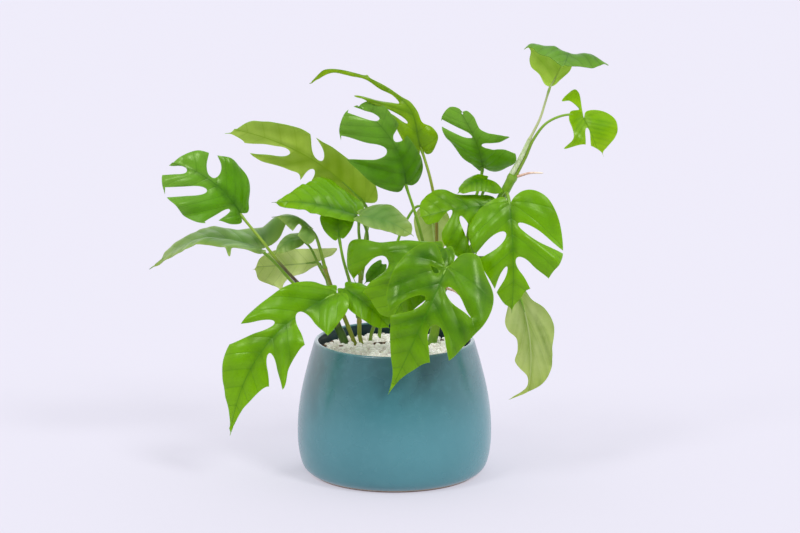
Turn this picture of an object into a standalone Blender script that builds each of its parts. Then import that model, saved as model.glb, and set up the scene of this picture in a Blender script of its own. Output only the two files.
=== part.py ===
"""A potted mini monstera: a split-leaved climbing plant in a round glazed pot, topped with white gravel.

Sizes in this file are millimetres, turned into metres as each mesh is made.
The origin is the middle of the pot's flat foot, with +Z up and the plant's broad front facing -Y.
"""
import math
import random

import bmesh
import bpy
from mathutils import Vector
from mathutils.geometry import delaunay_2d_cdt

MM = 0.001

# Clearance between touching pieces
GAP = 0.35

# Pot
BELLY_RADIUS = 80.0
POT_HEIGHT = 112.0
FOOT_RADIUS = 66.0
WALL = 4.5
FLOOR_THICKNESS = 9.0
POT_SIDES = 36

# Filling
SOIL_TOP = 92.0
GRAVEL_TOP = 101.5
GRAVEL_CROWN = 3.0
PEBBLE_RINGS = 5
PEBBLE_SIZE = 6.2

# Plant
BLADE_THICKNESS = 0.8
PETIOLE_RADIUS = 1.6
BLADE_GRID = 15.0
STEM_SIDES = 9
STEM_STEPS = 3
PETIOLE_SIDES = 5


def clear_scene():
    for old in list(bpy.data.objects):
        bpy.data.objects.remove(old, do_unlink=True)


def finish_material(name, colour, roughness):
    material = bpy.data.materials.new(name)
    material.use_nodes = True
    shader = material.node_tree.nodes["Principled BSDF"]
    shader.inputs["Base Color"].default_value = (*colour, 1.0)
    shader.inputs["Roughness"].default_value = roughness
    return material


def add_object(name, points, faces, material):
    mesh = bpy.data.meshes.new(name)
    mesh.from_pydata([Vector(p) * MM for p in points], [], faces)
    mesh.materials.append(material)
    piece = bpy.data.objects.new(name, mesh)
    bpy.context.scene.collection.objects.link(piece)
    return piece


def apply_modifiers(piece):
    graph = bpy.context.evaluated_depsgraph_get()
    solid = bpy.data.meshes.new_from_object(piece.evaluated_get(graph))
    piece.modifiers.clear()
    piece.data = solid


def join_or_cut(piece, tool, operation):
    """One Boolean against one object, applied, after which the tool is removed."""
    change = piece.modifiers.new(operation.lower(), "BOOLEAN")
    change.operation = operation
    change.object = tool
    change.solver = "EXACT"
    apply_modifiers(piece)
    bpy.data.objects.remove(tool, do_unlink=True)


def smooth_through(points, steps):
    """A centripetal curve through the points, with a number of steps between neighbours."""
    held = [Vector(p) for p in points]
    held = [held[0] * 2 - held[1]] + held + [held[-1] * 2 - held[-2]]
    path = []
    for a, b, c, d in zip(held, held[1:], held[2:], held[3:]):
        ta = 0.0
        tb = ta + math.sqrt((b - a).length)
        tc = tb + math.sqrt((c - b).length)
        td = tc + math.sqrt((d - c).length)
        for step in range(steps):
            t = tb + (tc - tb) * step / steps
            ab = a * ((tb - t) / (tb - ta)) + b * ((t - ta) / (tb - ta))
            bc = b * ((tc - t) / (tc - tb)) + c * ((t - tb) / (tc - tb))
            cd = c * ((td - t) / (td - tc)) + d * ((t - tc) / (td - tc))
            abc = ab * ((tc - t) / (tc - ta)) + bc * ((t - ta) / (tc - ta))
            bcd = bc * ((td - t) / (td - tb)) + cd * ((t - tb) / (td - tb))
            path.append(abc * ((tc - t) / (tc - tb)) + bcd * ((t - tb) / (tc - tb)))
    path.append(Vector(points[-1]))
    return path


def tube(path, radius_at, sides):
    """Points and faces of a closed round tube; radius_at takes 0 at the start and 1 at the end."""
    path = [Vector(p) for p in path]
    heading = (path[1] - path[0]).normalized()
    side = heading.orthogonal().normalized()
    points = []
    faces = []
    for i, centre in enumerate(path):
        after = path[min(i + 1, len(path) - 1)]
        before = path[max(i - 1, 0)]
        heading = (after - before).normalized()
        side = (side - heading * side.dot(heading)).normalized()
        across = heading.cross(side)
        radius = radius_at(i / (len(path) - 1))
        for k in range(sides):
            turn = 2 * math.pi * k / sides
            points.append(centre + (side * math.cos(turn) + across * math.sin(turn)) * radius)
    for i in range(len(path) - 1):
        for k in range(sides):
            near = i * sides + k
            beside = i * sides + (k + 1) % sides
            faces.append((near, beside, beside + sides, near + sides))
    faces.append(tuple(reversed(range(sides))))
    last = (len(path) - 1) * sides
    faces.append(tuple(last + k for k in range(sides)))
    return points, faces


# Pot, turned on its axis


def pot_outside():
    """Radius and height up the outer wall, from the foot's edge to the lip."""
    belly = [(67.5, 0.0), (75.0, 6.0), (79.0, 19.0), (BELLY_RADIUS, 40.0), (77.6, 64.0)]
    neck = [(71.2, 92.0), (66.0, 110.0)]
    return [(p.x, p.y) for p in smooth_through(belly + neck, 2)]


def wall_inside(height):
    """Inner radius at a height, from the outer wall less its thickness."""
    outer = pot_outside()
    for (r0, z0), (r1, z1) in zip(outer, outer[1:]):
        if z0 <= height <= z1:
            return r0 + (r1 - r0) * (height - z0) / (z1 - z0) - WALL
    return outer[-1][0] - WALL


def turned(name, profile, sides, material):
    """A solid of revolution; the profile starts and ends on the axis and runs with its inside on the left."""
    points = []
    rings = []
    for radius, height in profile:
        if radius == 0.0:
            rings.append([len(points)])
            points.append((0.0, 0.0, height))
            continue
        rings.append(list(range(len(points), len(points) + sides)))
        for k in range(sides):
            turn = 2 * math.pi * k / sides
            points.append((radius * math.cos(turn), radius * math.sin(turn), height))
    faces = []
    for lower, upper in zip(rings, rings[1:]):
        for k in range(sides):
            after = (k + 1) % sides
            if len(lower) == 1:
                faces.append((lower[0], upper[after], upper[k]))
            elif len(upper) == 1:
                faces.append((lower[k], lower[after], upper[0]))
            else:
                faces.append((lower[k], lower[after], upper[after], upper[k]))
    return add_object(name, points, faces, material)


def make_pot():
    outer = pot_outside()
    lip = [(65.2, 111.6), (64.0, POT_HEIGHT), (62.8, 111.6), (62.2, 110.0)]
    inner_heights = (GRAVEL_TOP, SOIL_TOP, 64.0, 40.0, 14.0)
    inner = [(wall_inside(z), z) for z in inner_heights]
    foot = [(0.0, 0.0), (FOOT_RADIUS, 0.0)]
    floor = [(62.0, FLOOR_THICKNESS), (0.0, FLOOR_THICKNESS)]
    glaze = finish_material("teal_glaze", (0.07, 0.23, 0.25), 0.35)
    pot = turned("pot", foot + outer[1:] + lip + inner + floor, POT_SIDES, glaze)
    pot.data.shade_smooth()
    pot.data.set_sharp_from_angle(angle=math.radians(40))
    return pot


def make_soil(holes):
    heights = (14.0, 40.0, 64.0, SOIL_TOP)
    wall = [(wall_inside(z) - GAP * 2, z) for z in heights]
    bottom = [(0.0, FLOOR_THICKNESS + GAP), (60.5, FLOOR_THICKNESS + GAP)]
    dark = finish_material("potting_mix", (0.05, 0.03, 0.02), 0.95)
    soil = turned("soil", bottom + wall + [(0.0, SOIL_TOP)], POT_SIDES, dark)
    for hole in holes:
        join_or_cut(soil, hole, "DIFFERENCE")
    return soil


def pebble(rng, centre, size):
    """A twelve-cornered stone, squashed and turned at random."""
    mesh = bmesh.new()
    bmesh.ops.create_icosphere(mesh, subdivisions=1, radius=1.0)
    stretch = Vector((rng.uniform(0.85, 1.25), rng.uniform(0.8, 1.1), rng.uniform(0.6, 0.85)))
    turn = rng.uniform(0.0, math.pi)
    points = []
    for corner in mesh.verts:
        p = Vector((corner.co.x * stretch.x, corner.co.y * stretch.y, corner.co.z * stretch.z))
        p *= size * rng.uniform(0.9, 1.08)
        turned_x = p.x * math.cos(turn) - p.y * math.sin(turn)
        turned_y = p.x * math.sin(turn) + p.y * math.cos(turn)
        points.append(Vector((turned_x, turned_y, p.z)) + centre)
    faces = [tuple(v.index for v in f.verts) for f in mesh.faces]
    mesh.free()
    return points, faces


def gravel_height(radius):
    """The bed is a little higher in the middle than at the wall."""
    return GRAVEL_TOP + GRAVEL_CROWN * (1.0 - (radius / 58.0) ** 2)


def make_gravel(holes):
    stone = finish_material("white_gravel", (0.78, 0.73, 0.63), 0.8)
    heights = (SOIL_TOP + GAP, GRAVEL_TOP - 2.0)
    side = [(wall_inside(z) - GAP * 2.5, z) for z in heights]
    top = [(40.0, gravel_height(40.0) - 2.0), (20.0, gravel_height(20.0) - 2.0)]
    bed = turned("gravel", [(0.0, heights[0])] + side + top + [(0.0, gravel_height(0.0) - 2.0)], 28, stone)
    stones = bpy.data.collections.new("stones")
    bpy.context.scene.collection.children.link(stones)
    rng = random.Random(7)
    for ring in range(PEBBLE_RINGS):
        radius = 53.5 * (ring + 0.35) / (PEBBLE_RINGS - 0.65)
        count = max(1, round(2 * math.pi * radius / (PEBBLE_SIZE * 1.85)))
        for k in range(count):
            turn = 2 * math.pi * (k + rng.uniform(-0.16, 0.16)) / count
            place = Vector((radius * math.cos(turn), radius * math.sin(turn), 0.0))
            place.z = gravel_height(radius) - 1.4 + rng.uniform(-0.6, 0.8)
            points, faces = pebble(rng, place, PEBBLE_SIZE * rng.uniform(0.84, 1.06))
            grain = add_object("stone", points, faces, stone)
            stones.objects.link(grain)
            bpy.context.scene.collection.objects.unlink(grain)
    join = bed.modifiers.new("fused", "BOOLEAN")
    join.operand_type = "COLLECTION"
    join.operation = "UNION"
    join.solver = "EXACT"
    join.collection = stones
    apply_modifiers(bed)
    for grain in list(stones.objects):
        bpy.data.objects.remove(grain, do_unlink=True)
    bpy.data.collections.remove(stones)
    for hole in holes:
        join_or_cut(bed, hole, "DIFFERENCE")
    return bed


# Stems


def rooted_path(points):
    """A centre line that is straight from its low end in the soil to where it leaves the gravel."""
    return [Vector(points[0])] + smooth_through(points[1:], STEM_STEPS)


class Stem:
    """A stem's centre line and its radius from foot to top."""

    def __init__(self, name, path, foot_radius, top_radius, colour):
        self.name = name
        self.path = path
        self.foot_radius = foot_radius
        self.top_radius = top_radius
        self.colour = colour

    def radius(self, share):
        return self.foot_radius + (self.top_radius - self.foot_radius) * share

    def at(self, share):
        """The point and heading of the centre line at a share of its steps."""
        place = share * (len(self.path) - 1)
        i = min(int(place), len(self.path) - 2)
        point = self.path[i].lerp(self.path[i + 1], place - i)
        return point, (self.path[i + 1] - self.path[i]).normalized()

    def seat(self, share, coming_from, petiole_radius):
        """Where a petiole from a point ends, just clear of this stem's skin."""
        point, along = self.at(share)
        approach = (point - Vector(coming_from)).normalized()
        sideways = approach - along * approach.dot(along)
        slant = sideways.length
        reach = self.radius(share) + GAP * 1.2 + petiole_radius * math.sqrt(1.0 - min(slant * slant, 1.0))
        return point - approach * (reach / slant)

    def top(self):
        """Where a petiole that carries on from the stem's end starts."""
        point, heading = self.at(1.0)
        return point + heading * GAP * 2.3

    def build(self):
        skin = finish_material(self.name + "_skin", self.colour, 0.5)
        points, faces = tube(self.path, self.radius, STEM_SIDES)
        stem = add_object(self.name, points, faces, skin)
        stem.data.shade_smooth()
        stem.data.set_sharp_from_angle(angle=math.radians(50))
        return stem


def hole_for(low, out, radius):
    """A plain straight hole round the lowest straight stretch of a stem or petiole."""
    low = Vector(low)
    heading = (Vector(out) - low).normalized()
    points, faces = tube([low - heading * GAP, Vector(out)], lambda share: radius + GAP * 1.3, STEM_SIDES)
    return add_object("hole", points, faces, None)


# Leaf blades


class Blade:
    """A leaf's surface: u runs from its base to its tip, v to its right as seen on the upper face."""

    def __init__(self, base, tip, face, arch=0.0, bow=0.0, fold=0.0, curl=0.0, twist=0.0, droop=0.0, wave=0.0):
        self.base = Vector(base)
        chord = Vector(tip) - self.base
        self.length = chord.length
        self.along = chord.normalized()
        face = Vector(face)
        self.up = (face - self.along * face.dot(self.along)).normalized()
        self.right = self.along.cross(self.up)
        self.arch = arch
        self.bow = bow
        self.fold = fold
        self.curl = curl
        self.twist = math.radians(twist)
        self.droop = droop
        self.wave = wave

    def midrib(self, u):
        """How far right of the chord the midrib runs."""
        share = min(max(u / self.length, 0.0), 1.0)
        return self.bow * 4.0 * share * (1.0 - share)

    def place(self, u, v):
        share = u / self.length
        off = v - self.midrib(u)
        height = self.arch * math.sin(math.pi * share)
        height += self.fold * math.hypot(off, 1.5) - self.curl * off * off / self.length
        height -= self.droop * max(share - 0.55, 0.0) ** 2 / 0.2
        height += self.wave * math.sin(9.0 * share + math.copysign(0.8, off)) * (off / (0.4 * self.length)) ** 2
        turn = self.twist * share
        right = self.right * math.cos(turn) + self.up * math.sin(turn)
        up = self.up * math.cos(turn) - self.right * math.sin(turn)
        return self.base + self.along * u + right * v + up * height

    def normal(self, u, v):
        step = 0.5
        ahead = self.place(u + step, v) - self.place(u - step, v)
        beside = self.place(u, v + step) - self.place(u, v - step)
        return beside.cross(ahead).normalized()


def rim_outline(length, right, left, apex, steps):
    """The uncut outline, up the right side from the notch at the base and back down the left."""
    notch = Vector((0.02 * length, 0.0))
    point = Vector(apex or (length, 0.0))
    up_right = smooth_through([notch] + [Vector(p) for p in right] + [point], steps)
    up_left = smooth_through([notch] + [Vector(p) for p in left] + [point], steps)
    return up_left[:-1] + list(reversed(up_right))[:-1]


def cut_outline(inner, outer, width, mouth, steps):
    """A split between lobes: round at its inner end, widest a third of the way out, then down to its mouth."""
    inner = Vector(inner)
    axis = Vector(outer) - inner
    across = Vector((-axis.y, axis.x)).normalized()
    sides = []
    for i in range(1, steps + 1):
        t = (i / steps) ** 1.5
        rise = math.sqrt(1.0 - (1.0 - min(t / 0.35, 1.0)) ** 2)
        blend = max(t - 0.35, 0.0) / 0.65
        half = 0.5 * rise * (width + (mouth - width) * blend * blend * (3.0 - 2.0 * blend))
        sides.append((inner + axis * t, max(half, 0.05)))
    right = [point - across * half for point, half in sides]
    left = [point + across * half for point, half in reversed(sides)]
    return [inner] + right + left


def distance_to(point, outline):
    """Shortest distance from a point to a closed outline."""
    best = 1e9
    for a, b in zip(outline, outline[1:] + outline[:1]):
        side = b - a
        share = min(max((point - a).dot(side) / max(side.length_squared, 1e-9), 0.0), 1.0)
        best = min(best, (point - a - side * share).length)
    return best


def flat_triangles(blade, right, left, cuts, apex, grid, steps):
    """The cut blade, flat, as triangles: outline less cuts, with the midrib and a grid of inner points."""
    rim = rim_outline(blade.length, right, left, apex, steps)
    outlines = [rim] + [cut_outline(*cut, steps * 2 + 1) for cut in cuts]
    corners = []
    rings = []
    for outline in outlines:
        rings.append(list(range(len(corners), len(corners) + len(outline))))
        corners.extend(outline)
    count = max(3, round(blade.length / grid))
    rib = [Vector((blade.length * (0.06 + 0.86 * k / count), 0.0)) for k in range(count + 1)]
    for point in rib:
        point.y = blade.midrib(point.x)
    rib = [p for p in rib if min(distance_to(p, o) for o in outlines) > 0.12 * grid]
    rib_edges = [(len(corners) + k, len(corners) + k + 1) for k in range(len(rib) - 1)]
    corners.extend(rib)
    reach = blade.length * 1.3
    row = -reach
    shift = 0.0
    while row < reach:
        column = -reach + shift
        while column < reach:
            point = Vector((column, row))
            clear = min(distance_to(point, o) for o in outlines)
            if clear > 0.42 * grid and abs(row - blade.midrib(column)) > 0.42 * grid:
                corners.append(point)
            column += grid
        row += grid * 0.87
        shift = grid * 0.5 - shift
    found = delaunay_2d_cdt(corners, rib_edges, rings, 1, 1e-5)
    flat, triangles, sources = found[0], found[2], found[5]
    kept = [t for t, source in zip(triangles, sources) if list(source) == [0]]
    return flat, largest_patch(kept)


def largest_patch(triangles):
    """The triangles that hold together as one piece; loose scraps between two cuts are dropped."""
    by_edge = {}
    for i, triangle in enumerate(triangles):
        for a, b in zip(triangle, triangle[1:] + triangle[:1]):
            by_edge.setdefault((min(a, b), max(a, b)), []).append(i)
    near = {i: set() for i in range(len(triangles))}
    for shared in by_edge.values():
        for i in shared:
            near[i].update(shared)
    unseen = set(near)
    best = set()
    while unseen:
        patch = set()
        front = [unseen.pop()]
        while front:
            i = front.pop()
            patch.add(i)
            front.extend(near[i] & unseen)
            unseen -= near[i]
        if len(patch) > len(best):
            best = patch
    return [triangles[i] for i in sorted(best)]


def thick_blade(blade, flat, triangles, thickness):
    """Both faces of the blade, split into triangles alike, with a wall round every edge."""
    used = sorted({i for triangle in triangles for i in triangle})
    order = {i: k for k, i in enumerate(used)}
    top = []
    bottom = []
    for i in used:
        u, v = flat[i]
        point = blade.place(u, v)
        offset = blade.normal(u, v) * (thickness / 2)
        top.append(point + offset)
        bottom.append(point - offset)
    shift = len(used)
    faces = []
    border = {}
    for triangle in triangles:
        a, b, c = (order[i] for i in triangle)
        (ax, ay), (bx, by), (cx, cy) = (flat[i] for i in triangle)
        if (bx - ax) * (cy - ay) - (by - ay) * (cx - ax) > 0:
            b, c = c, b
        faces.append((a, b, c))
        faces.append((a + shift, c + shift, b + shift))
        for start, end in ((a, b), (b, c), (c, a)):
            if (end, start) in border:
                del border[(end, start)]
            else:
                border[(start, end)] = True
    for start, end in border:
        faces.append((start, start + shift, end + shift))
        faces.append((start, end + shift, end))
    return top + bottom, faces


def make_leaf(name, blade, right, left, petiole, colour, cuts=(), apex=None, slim=1.0, rooted=False):
    """A blade with its petiole, which runs from its foot up to the base and a little way under the midrib."""
    green = finish_material(name + "_green", colour, 0.4)
    flat, triangles = flat_triangles(blade, right, left, cuts, apex, BLADE_GRID, 2)
    points, faces = thick_blade(blade, flat, triangles, BLADE_THICKNESS)
    leaf = add_object(name, points, faces, green)
    sink = BLADE_THICKNESS / 2 + PETIOLE_RADIUS * 0.3
    under = []
    for share in (0.035, 0.13):
        u = share * blade.length
        v = blade.midrib(u)
        under.append(blade.place(u, v) - blade.normal(u, v) * sink)
    stretch = list(petiole) + under
    path = rooted_path(stretch) if rooted else smooth_through(stretch, STEM_STEPS)
    foot = PETIOLE_RADIUS * slim
    points, faces = tube(path, lambda share: foot * (1.0 - 0.42 * share ** 3), PETIOLE_SIDES)
    stalk = add_object("stalk", points, faces, green)
    join_or_cut(leaf, stalk, "UNION")
    leaf.data.shade_smooth()
    leaf.data.set_sharp_from_angle(angle=math.radians(45))
    return leaf


# The plant's stems, from their ends in the soil


def make_stems():
    bark = (0.10, 0.20, 0.03)
    main = rooted_path([(26, 25, 80), (33, 20, 112), (39, 14, 150), (52, 6, 173), (70, 0, 195), (88, -4, 232),
                        (97, -5, 250)])
    left = rooted_path([(-32, 23, 79), (-44, 17, 112), (-48, 15, 121), (-54, 13, 133)])
    inner = rooted_path([(-25, 23, 81), (-36, 18, 112), (-43, 14, 131), (-51, 10, 151), (-57, 6, 170)])
    centre = rooted_path([(-22, 13, 80), (-29, 15, 112), (-29, 12, 132), (-28, 4, 165)])
    stems = {
        "main": Stem("stem_main", main, 3.9, 3.8, bark),
        "left": Stem("stem_left", left, 3.6, 2.8, (0.05, 0.12, 0.03)),
        "inner": Stem("stem_inner", inner, 1.9, 1.6, (0.30, 0.32, 0.05)),
        "centre": Stem("stem_centre", centre, 1.8, 1.6, (0.25, 0.30, 0.06)),
    }
    top, heading = stems["main"].at(1.0)
    beside = Vector((0.89, 0.0, -0.45))
    sheath = smooth_through([top + heading * GAP - beside * 1.7, (103, -6, 265), (109.5, -6, 279)], STEM_STEPS)
    stems["sheath"] = Stem("leaf_sheath", sheath, 2.0, 1.7, (0.62, 0.72, 0.45))
    for name, share, out, far in (("aerial_root", 0.97, (110, -9, 252), (121, -9, 252)),
                                  ("lower_root", 0.27, (50, 4, 151), (56, -2, 147))):
        start = stems["main"].seat(share, out, 1.0)
        root = smooth_through([start, out, far], STEM_STEPS)
        stems[name] = Stem(name, root, 1.0, 0.5, (0.65, 0.35, 0.28))
    return stems


def make_leaves(stems):
    """Every leaf: its blade's place and bend, its outline and cuts, and the way of its petiole."""
    main = stems["main"]
    left_stem = stems["left"]
    inner = stems["inner"]
    centre = stems["centre"]
    dark = (0.05, 0.22, 0.01)
    fresh = (0.14, 0.38, 0.02)
    pale = (0.30, 0.45, 0.10)
    lime = (0.28, 0.48, 0.02)

    make_leaf(
        "leaf_left_fan",
        Blade((-124, -5, 217), (-179, -22, 263), (0.15, -0.85, 0.5), arch=4, bow=6, fold=0.12, curl=0.25),
        right=[(-4, 5), (0, 13), (8, 27), (22, 32), (33, 32), (46, 27), (61, 21), (70, 9)],
        left=[(-4, -5), (3, -12), (15, -17), (27, -28), (38, -31), (50, -30), (61, -27), (72, -20), (76, -10)],
        cuts=[((37, 10), (52, 31), 13, 5), ((60, 2), (80, -11), 7, 9), ((37, -2), (66, -24), 8, 8),
              ((11, -3), (23, -27), 5, 6)],
        petiole=[left_stem.top(), (-74, 8, 152), (-94, -2, 176), (-108, -8, 196)],
        colour=dark)
    make_leaf(
        "leaf_left_long",
        Blade((-108, 8, 187), (-202, 12, 168), (-0.1, -0.15, 1.0), arch=18, fold=0.15, curl=0.5),
        right=[(-8, 8), (-17, 20), (-8, 26), (10, 25), (35, 22), (60, 17), (82, 9)],
        left=[(-3, -6), (4, -15), (14, -21), (30, -23), (50, -19), (75, -10)],
        cuts=[((14, -6), (22, -26), 4, 6), ((30, 6), (42, 26), 5, 5)],
        petiole=[left_stem.seat(0.6, (-72, 16, 142), 1.5), (-85, 16, 157), (-98, 12, 173)],
        colour=dark)
    make_leaf(
        "leaf_back_long",
        Blade((-24, 42, 218), (-134, 10, 286), (-0.3, 0.8, 0.6), arch=6, bow=-9, fold=0.08, curl=0.2),
        right=[(-2, 5), (10, 16), (32, 20), (52, 17), (60, 9), (69, 11), (89, 15), (105, 13), (118, 5)],
        left=[(-4, -4), (-6, -9), (7, -22), (31, -27), (55, -28), (79, -29), (98, -26), (115, -20), (125, -12)],
        cuts=[((52, -13), (74, -31), 6, 3), ((78, -5), (116, 11), 8, 7), ((53, -2), (48, 24), 7, 12)],
        petiole=[centre.seat(0.8, (-26, 20, 172), 1.5), (-24, 32, 190), (-21, 42, 208)],
        colour=pale)
    make_leaf(
        "leaf_top_arched",
        Blade((18, 15, 288), (-69, 0, 332), (0.2, -0.2, 1.0), arch=21, fold=-0.2, curl=0.35, twist=-40, droop=10),
        right=[(-6, 6), (-12, 12), (-8, 20), (10, 25), (38, 21), (64, 14), (85, 5)],
        left=[(-7, -3), (-16, -5), (-21, -11), (-17, -19), (-3, -24), (10, -32), (24, -40), (40, -44), (51, -38),
              (46, -24), (54, -16), (66, -14), (78, -9), (89, -4)],
        cuts=[((8, -7), (10, -36), 6, 8), ((20, -6), (32, -46), 5, 7), ((30, -4), (54, -28), 5, 9),
              ((28, 6), (44, 28), 5, 6)],
        petiole=[main.seat(0.25, (31, 11, 166), 1.5), (35, 11, 185), (34, 12, 218), (31, 13, 242), (25, 14, 270)],
        colour=lime)
    make_leaf(
        "leaf_centre_back",
        Blade((10, 22, 235), (-29, -2, 306), (-0.1, -0.95, 0.3), arch=6, bow=9, fold=0.1, curl=0.2),
        right=[(-3, 5), (-2, 10), (4, 17), (14, 22), (30, 23), (48, 21), (63, 20), (76, 17), (84, 8)],
        left=[(-2, -6), (2, -12), (17, -21), (36, -27), (49, -31), (62, -28), (76, -23), (85, -12)],
        cuts=[((38, 1), (61, -31), 14, 22), ((66, 9), (86, -8), 6, 6), ((42, 11), (50, 26), 10, 14)],
        petiole=[main.seat(0.19, (28, 22, 168), 1.5), (23, 22, 191), (17, 23, 213)],
        colour=dark)
    make_leaf(
        "leaf_centre_right",
        Blade((72, 10, 252), (55, -12, 300), (-0.35, -0.6, 0.7), arch=5, bow=5, fold=0.15, curl=0.2),
        right=[(-6, 7), (0, 22), (9, 33), (20, 34), (33, 32), (37, 18), (43, 11), (52, 9), (58, 4)],
        left=[(-3, -3), (7, -7), (19, -12), (34, -17), (47, -20), (56, -18), (63, -10), (62, -4)],
        cuts=[((26, 8), (22, 40), 8, 17), ((35, 3), (52, -20), 6, 6)],
        petiole=[main.seat(0.5, (62, 6, 210), 1.5), (64, 7, 220), (70, 10, 240)],
        colour=dark)
    make_leaf(
        "leaf_small_dome",
        Blade((76, -10, 248), (51, -19, 237), (0.0, -0.5, 0.85), arch=4, curl=0.8),
        right=[(-2, 4), (5, 9), (15, 9), (25, 5)],
        left=[(-5, -6), (-6, -13), (2, -14), (14, -9), (25, -4)],
        petiole=[main.seat(0.6, (66, 10, 206), 1.5), (68, 11, 217), (73, 2, 236)],
        colour=fresh)
    make_leaf(
        "leaf_right_large",
        Blade((93, -28, 232), (95, -40, 142), (0.1, -0.95, 0.35), arch=8, bow=-1, fold=0.12, curl=0.3),
        right=[(-4, 4), (-3, 12), (4, 24), (12, 31), (21, 35), (31, 34), (42, 29), (53, 24), (63, 18), (74, 12),
               (83, 6)],
        left=[(-4, -4), (-9, -12), (-9, -20), (-3, -30), (10, -38), (30, -43), (44, -42), (57, -34), (67, -28),
              (72, -12), (80, -6)],
        cuts=[((17, -6), (44, -46), 8, 2), ((45, -4), (72, -26), 11, 18), ((24, 4), (47, 33), 10, 4),
              ((52, 4), (74, 14), 5, 3)],
        petiole=[main.seat(0.77, (89, -13, 233), 1.5), (91, -19, 237)],
        colour=fresh)
    make_leaf(
        "leaf_right_behind",
        Blade((80, -16, 228), (19, -20, 217), (0.0, -0.85, 0.5), arch=5, curl=0.5),
        right=[(-3, 4), (0, 8), (10, 10), (27, 13), (38, 20), (48, 21), (58, 13)],
        left=[(-3, -4), (4, -14), (15, -29), (26, -40), (38, -36), (46, -24), (46, -8), (56, -7)],
        cuts=[((34, 0), (56, -20), 6, 12), ((28, -6), (20, -36), 6, 9)],
        petiole=[main.seat(0.7, (86, -10, 222), 1.5), (86, -13, 226)],
        colour=fresh)
    make_leaf(
        "leaf_right_hanging",
        Blade((101, -20, 156), (109, -26, 72), (0.15, 0.9, -0.3), bow=6, fold=-0.15, curl=0.2, wave=2.5),
        right=[(-2, 5), (7, 11), (15, 21), (28, 27), (47, 25), (63, 22), (73, 17), (79, 10)],
        left=[(-2, -5), (6, -8), (15, -11), (24, -13), (31, -11), (38, -5), (48, -5), (56, -8), (62, -5), (70, 1),
              (78, 0)],
        apex=(88, -16),
        petiole=[main.seat(0.49, (72, -5, 181), 1.5), (72, -5, 181), (88, -12, 182), (99, -18, 174)],
        colour=pale)
    make_leaf(
        "leaf_front_large",
        Blade((42, -72, 188), (0, -88, 96), (0.05, -0.9, 0.45), arch=10, bow=-1, fold=0.1, curl=0.3),
        right=[(-4, 5), (-9, 10), (-13, 17), (-8, 26), (6, 34), (20, 37), (40, 35), (53, 25), (70, 18), (84, 11),
               (97, 4)],
        left=[(-6, -3), (-14, -6), (-18, -13), (-18, -20), (-10, -28), (4, -43), (15, -47), (30, -46), (42, -42),
              (52, -39), (63, -35), (72, -28), (77, -17), (86, -10), (98, -3)],
        cuts=[((29, 5), (56, 28), 10, 2), ((46, -10), (78, -30), 14, 16), ((15, -6), (29, -34), 8, 0.4),
              ((7, 4), (5, 12), 4, 0.4)],
        apex=(110, 2),
        petiole=[main.seat(0.34, (52, -6, 168), 1.5), (54, -22, 178), (53, -46, 190), (47, -65, 194)],
        colour=fresh)
    make_leaf(
        "leaf_front_behind",
        Blade((40, -48, 199), (-1, -62, 144), (-0.1, -0.8, 0.6), arch=6, curl=0.2),
        right=[(-3, 5), (3, 14), (14, 30), (27, 47), (34, 65), (40, 71), (50, 66), (64, 52), (66, 40), (69, 29),
               (72, 20), (74, 10)],
        left=[(-4, -4), (0, -11), (12, -16), (30, -17), (50, -13), (66, -6)],
        cuts=[((34, 34), (66, 43), 14, 18)],
        petiole=[(-24, 28, 82), (-19, 16, 113), (-10, -2, 140), (12, -25, 172), (32, -40, 196)],
        rooted=True,
        colour=fresh)
    make_leaf(
        "leaf_front_left",
        Blade((-45, -42, 161), (-132, -55, 53), (-0.1, -0.85, 0.5), arch=14, bow=15, fold=0.12, curl=0.2),
        right=[(-3, 5), (2, 11), (7, 22), (18, 32), (37, 39), (58, 43), (80, 41), (96, 39), (109, 32), (124, 19),
               (133, 8)],
        left=[(-3, -6), (4, -15), (19, -18), (34, -19), (50, -9), (60, -9), (72, -12), (88, -20), (96, -6),
              (112, -2), (128, 0)],
        cuts=[((51, 22), (86, 47), 9, 15), ((33, 13), (43, -22), 13, 22), ((73, 9), (95, -18), 9, 14)],
        apex=(148, -3),
        petiole=[left_stem.seat(0.8, (-46, 2, 140), 1.5), (-40, -14, 157), (-39, -34, 167)],
        colour=fresh)
    make_leaf(
        "leaf_over_rim",
        Blade((-34, -27, 160), (-3, -50, 132), (0.1, -0.7, 0.7), arch=4, curl=0.5),
        right=[(-3, 4), (5, 8), (14, 10), (27, 9), (38, 6)],
        left=[(-3, -6), (4, -11), (18, -12), (34, -11), (42, -6)],
        petiole=[centre.seat(0.5, (-30, -2, 145), 1.5), (-31, -14, 155)],
        colour=lime)
    make_leaf(
        "leaf_upper_bright",
        Blade((-29, 0, 216), (-98, -25, 233), (0.1, -0.6, 0.8), arch=4, fold=0.1, curl=0.3, droop=3),
        right=[(-5, 6), (-6, 16), (2, 24), (11, 26), (20, 33), (33, 31), (46, 23), (58, 12), (68, 5)],
        left=[(-3, -4), (8, -9), (22, -11), (40, -10), (55, -7), (68, -3)],
        petiole=[centre.seat(0.9, (-23, 6, 180), 1.5), (-22, 6, 195), (-25, 3, 208)],
        colour=fresh)
    make_leaf(
        "leaf_inner_hanging",
        Blade((-45, -6, 198), (-48, 8, 224), (0.0, -0.85, 0.5), arch=3, curl=0.4),
        right=[(-4, 5), (0, 12), (9, 15), (20, 10)],
        left=[(-4, -5), (0, -12), (9, -14), (20, -9)],
        petiole=[centre.seat(0.4, (-34, 8, 148), 1.5), (-37, 4, 160), (-42, -3, 180)],
        colour=dark)
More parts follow.
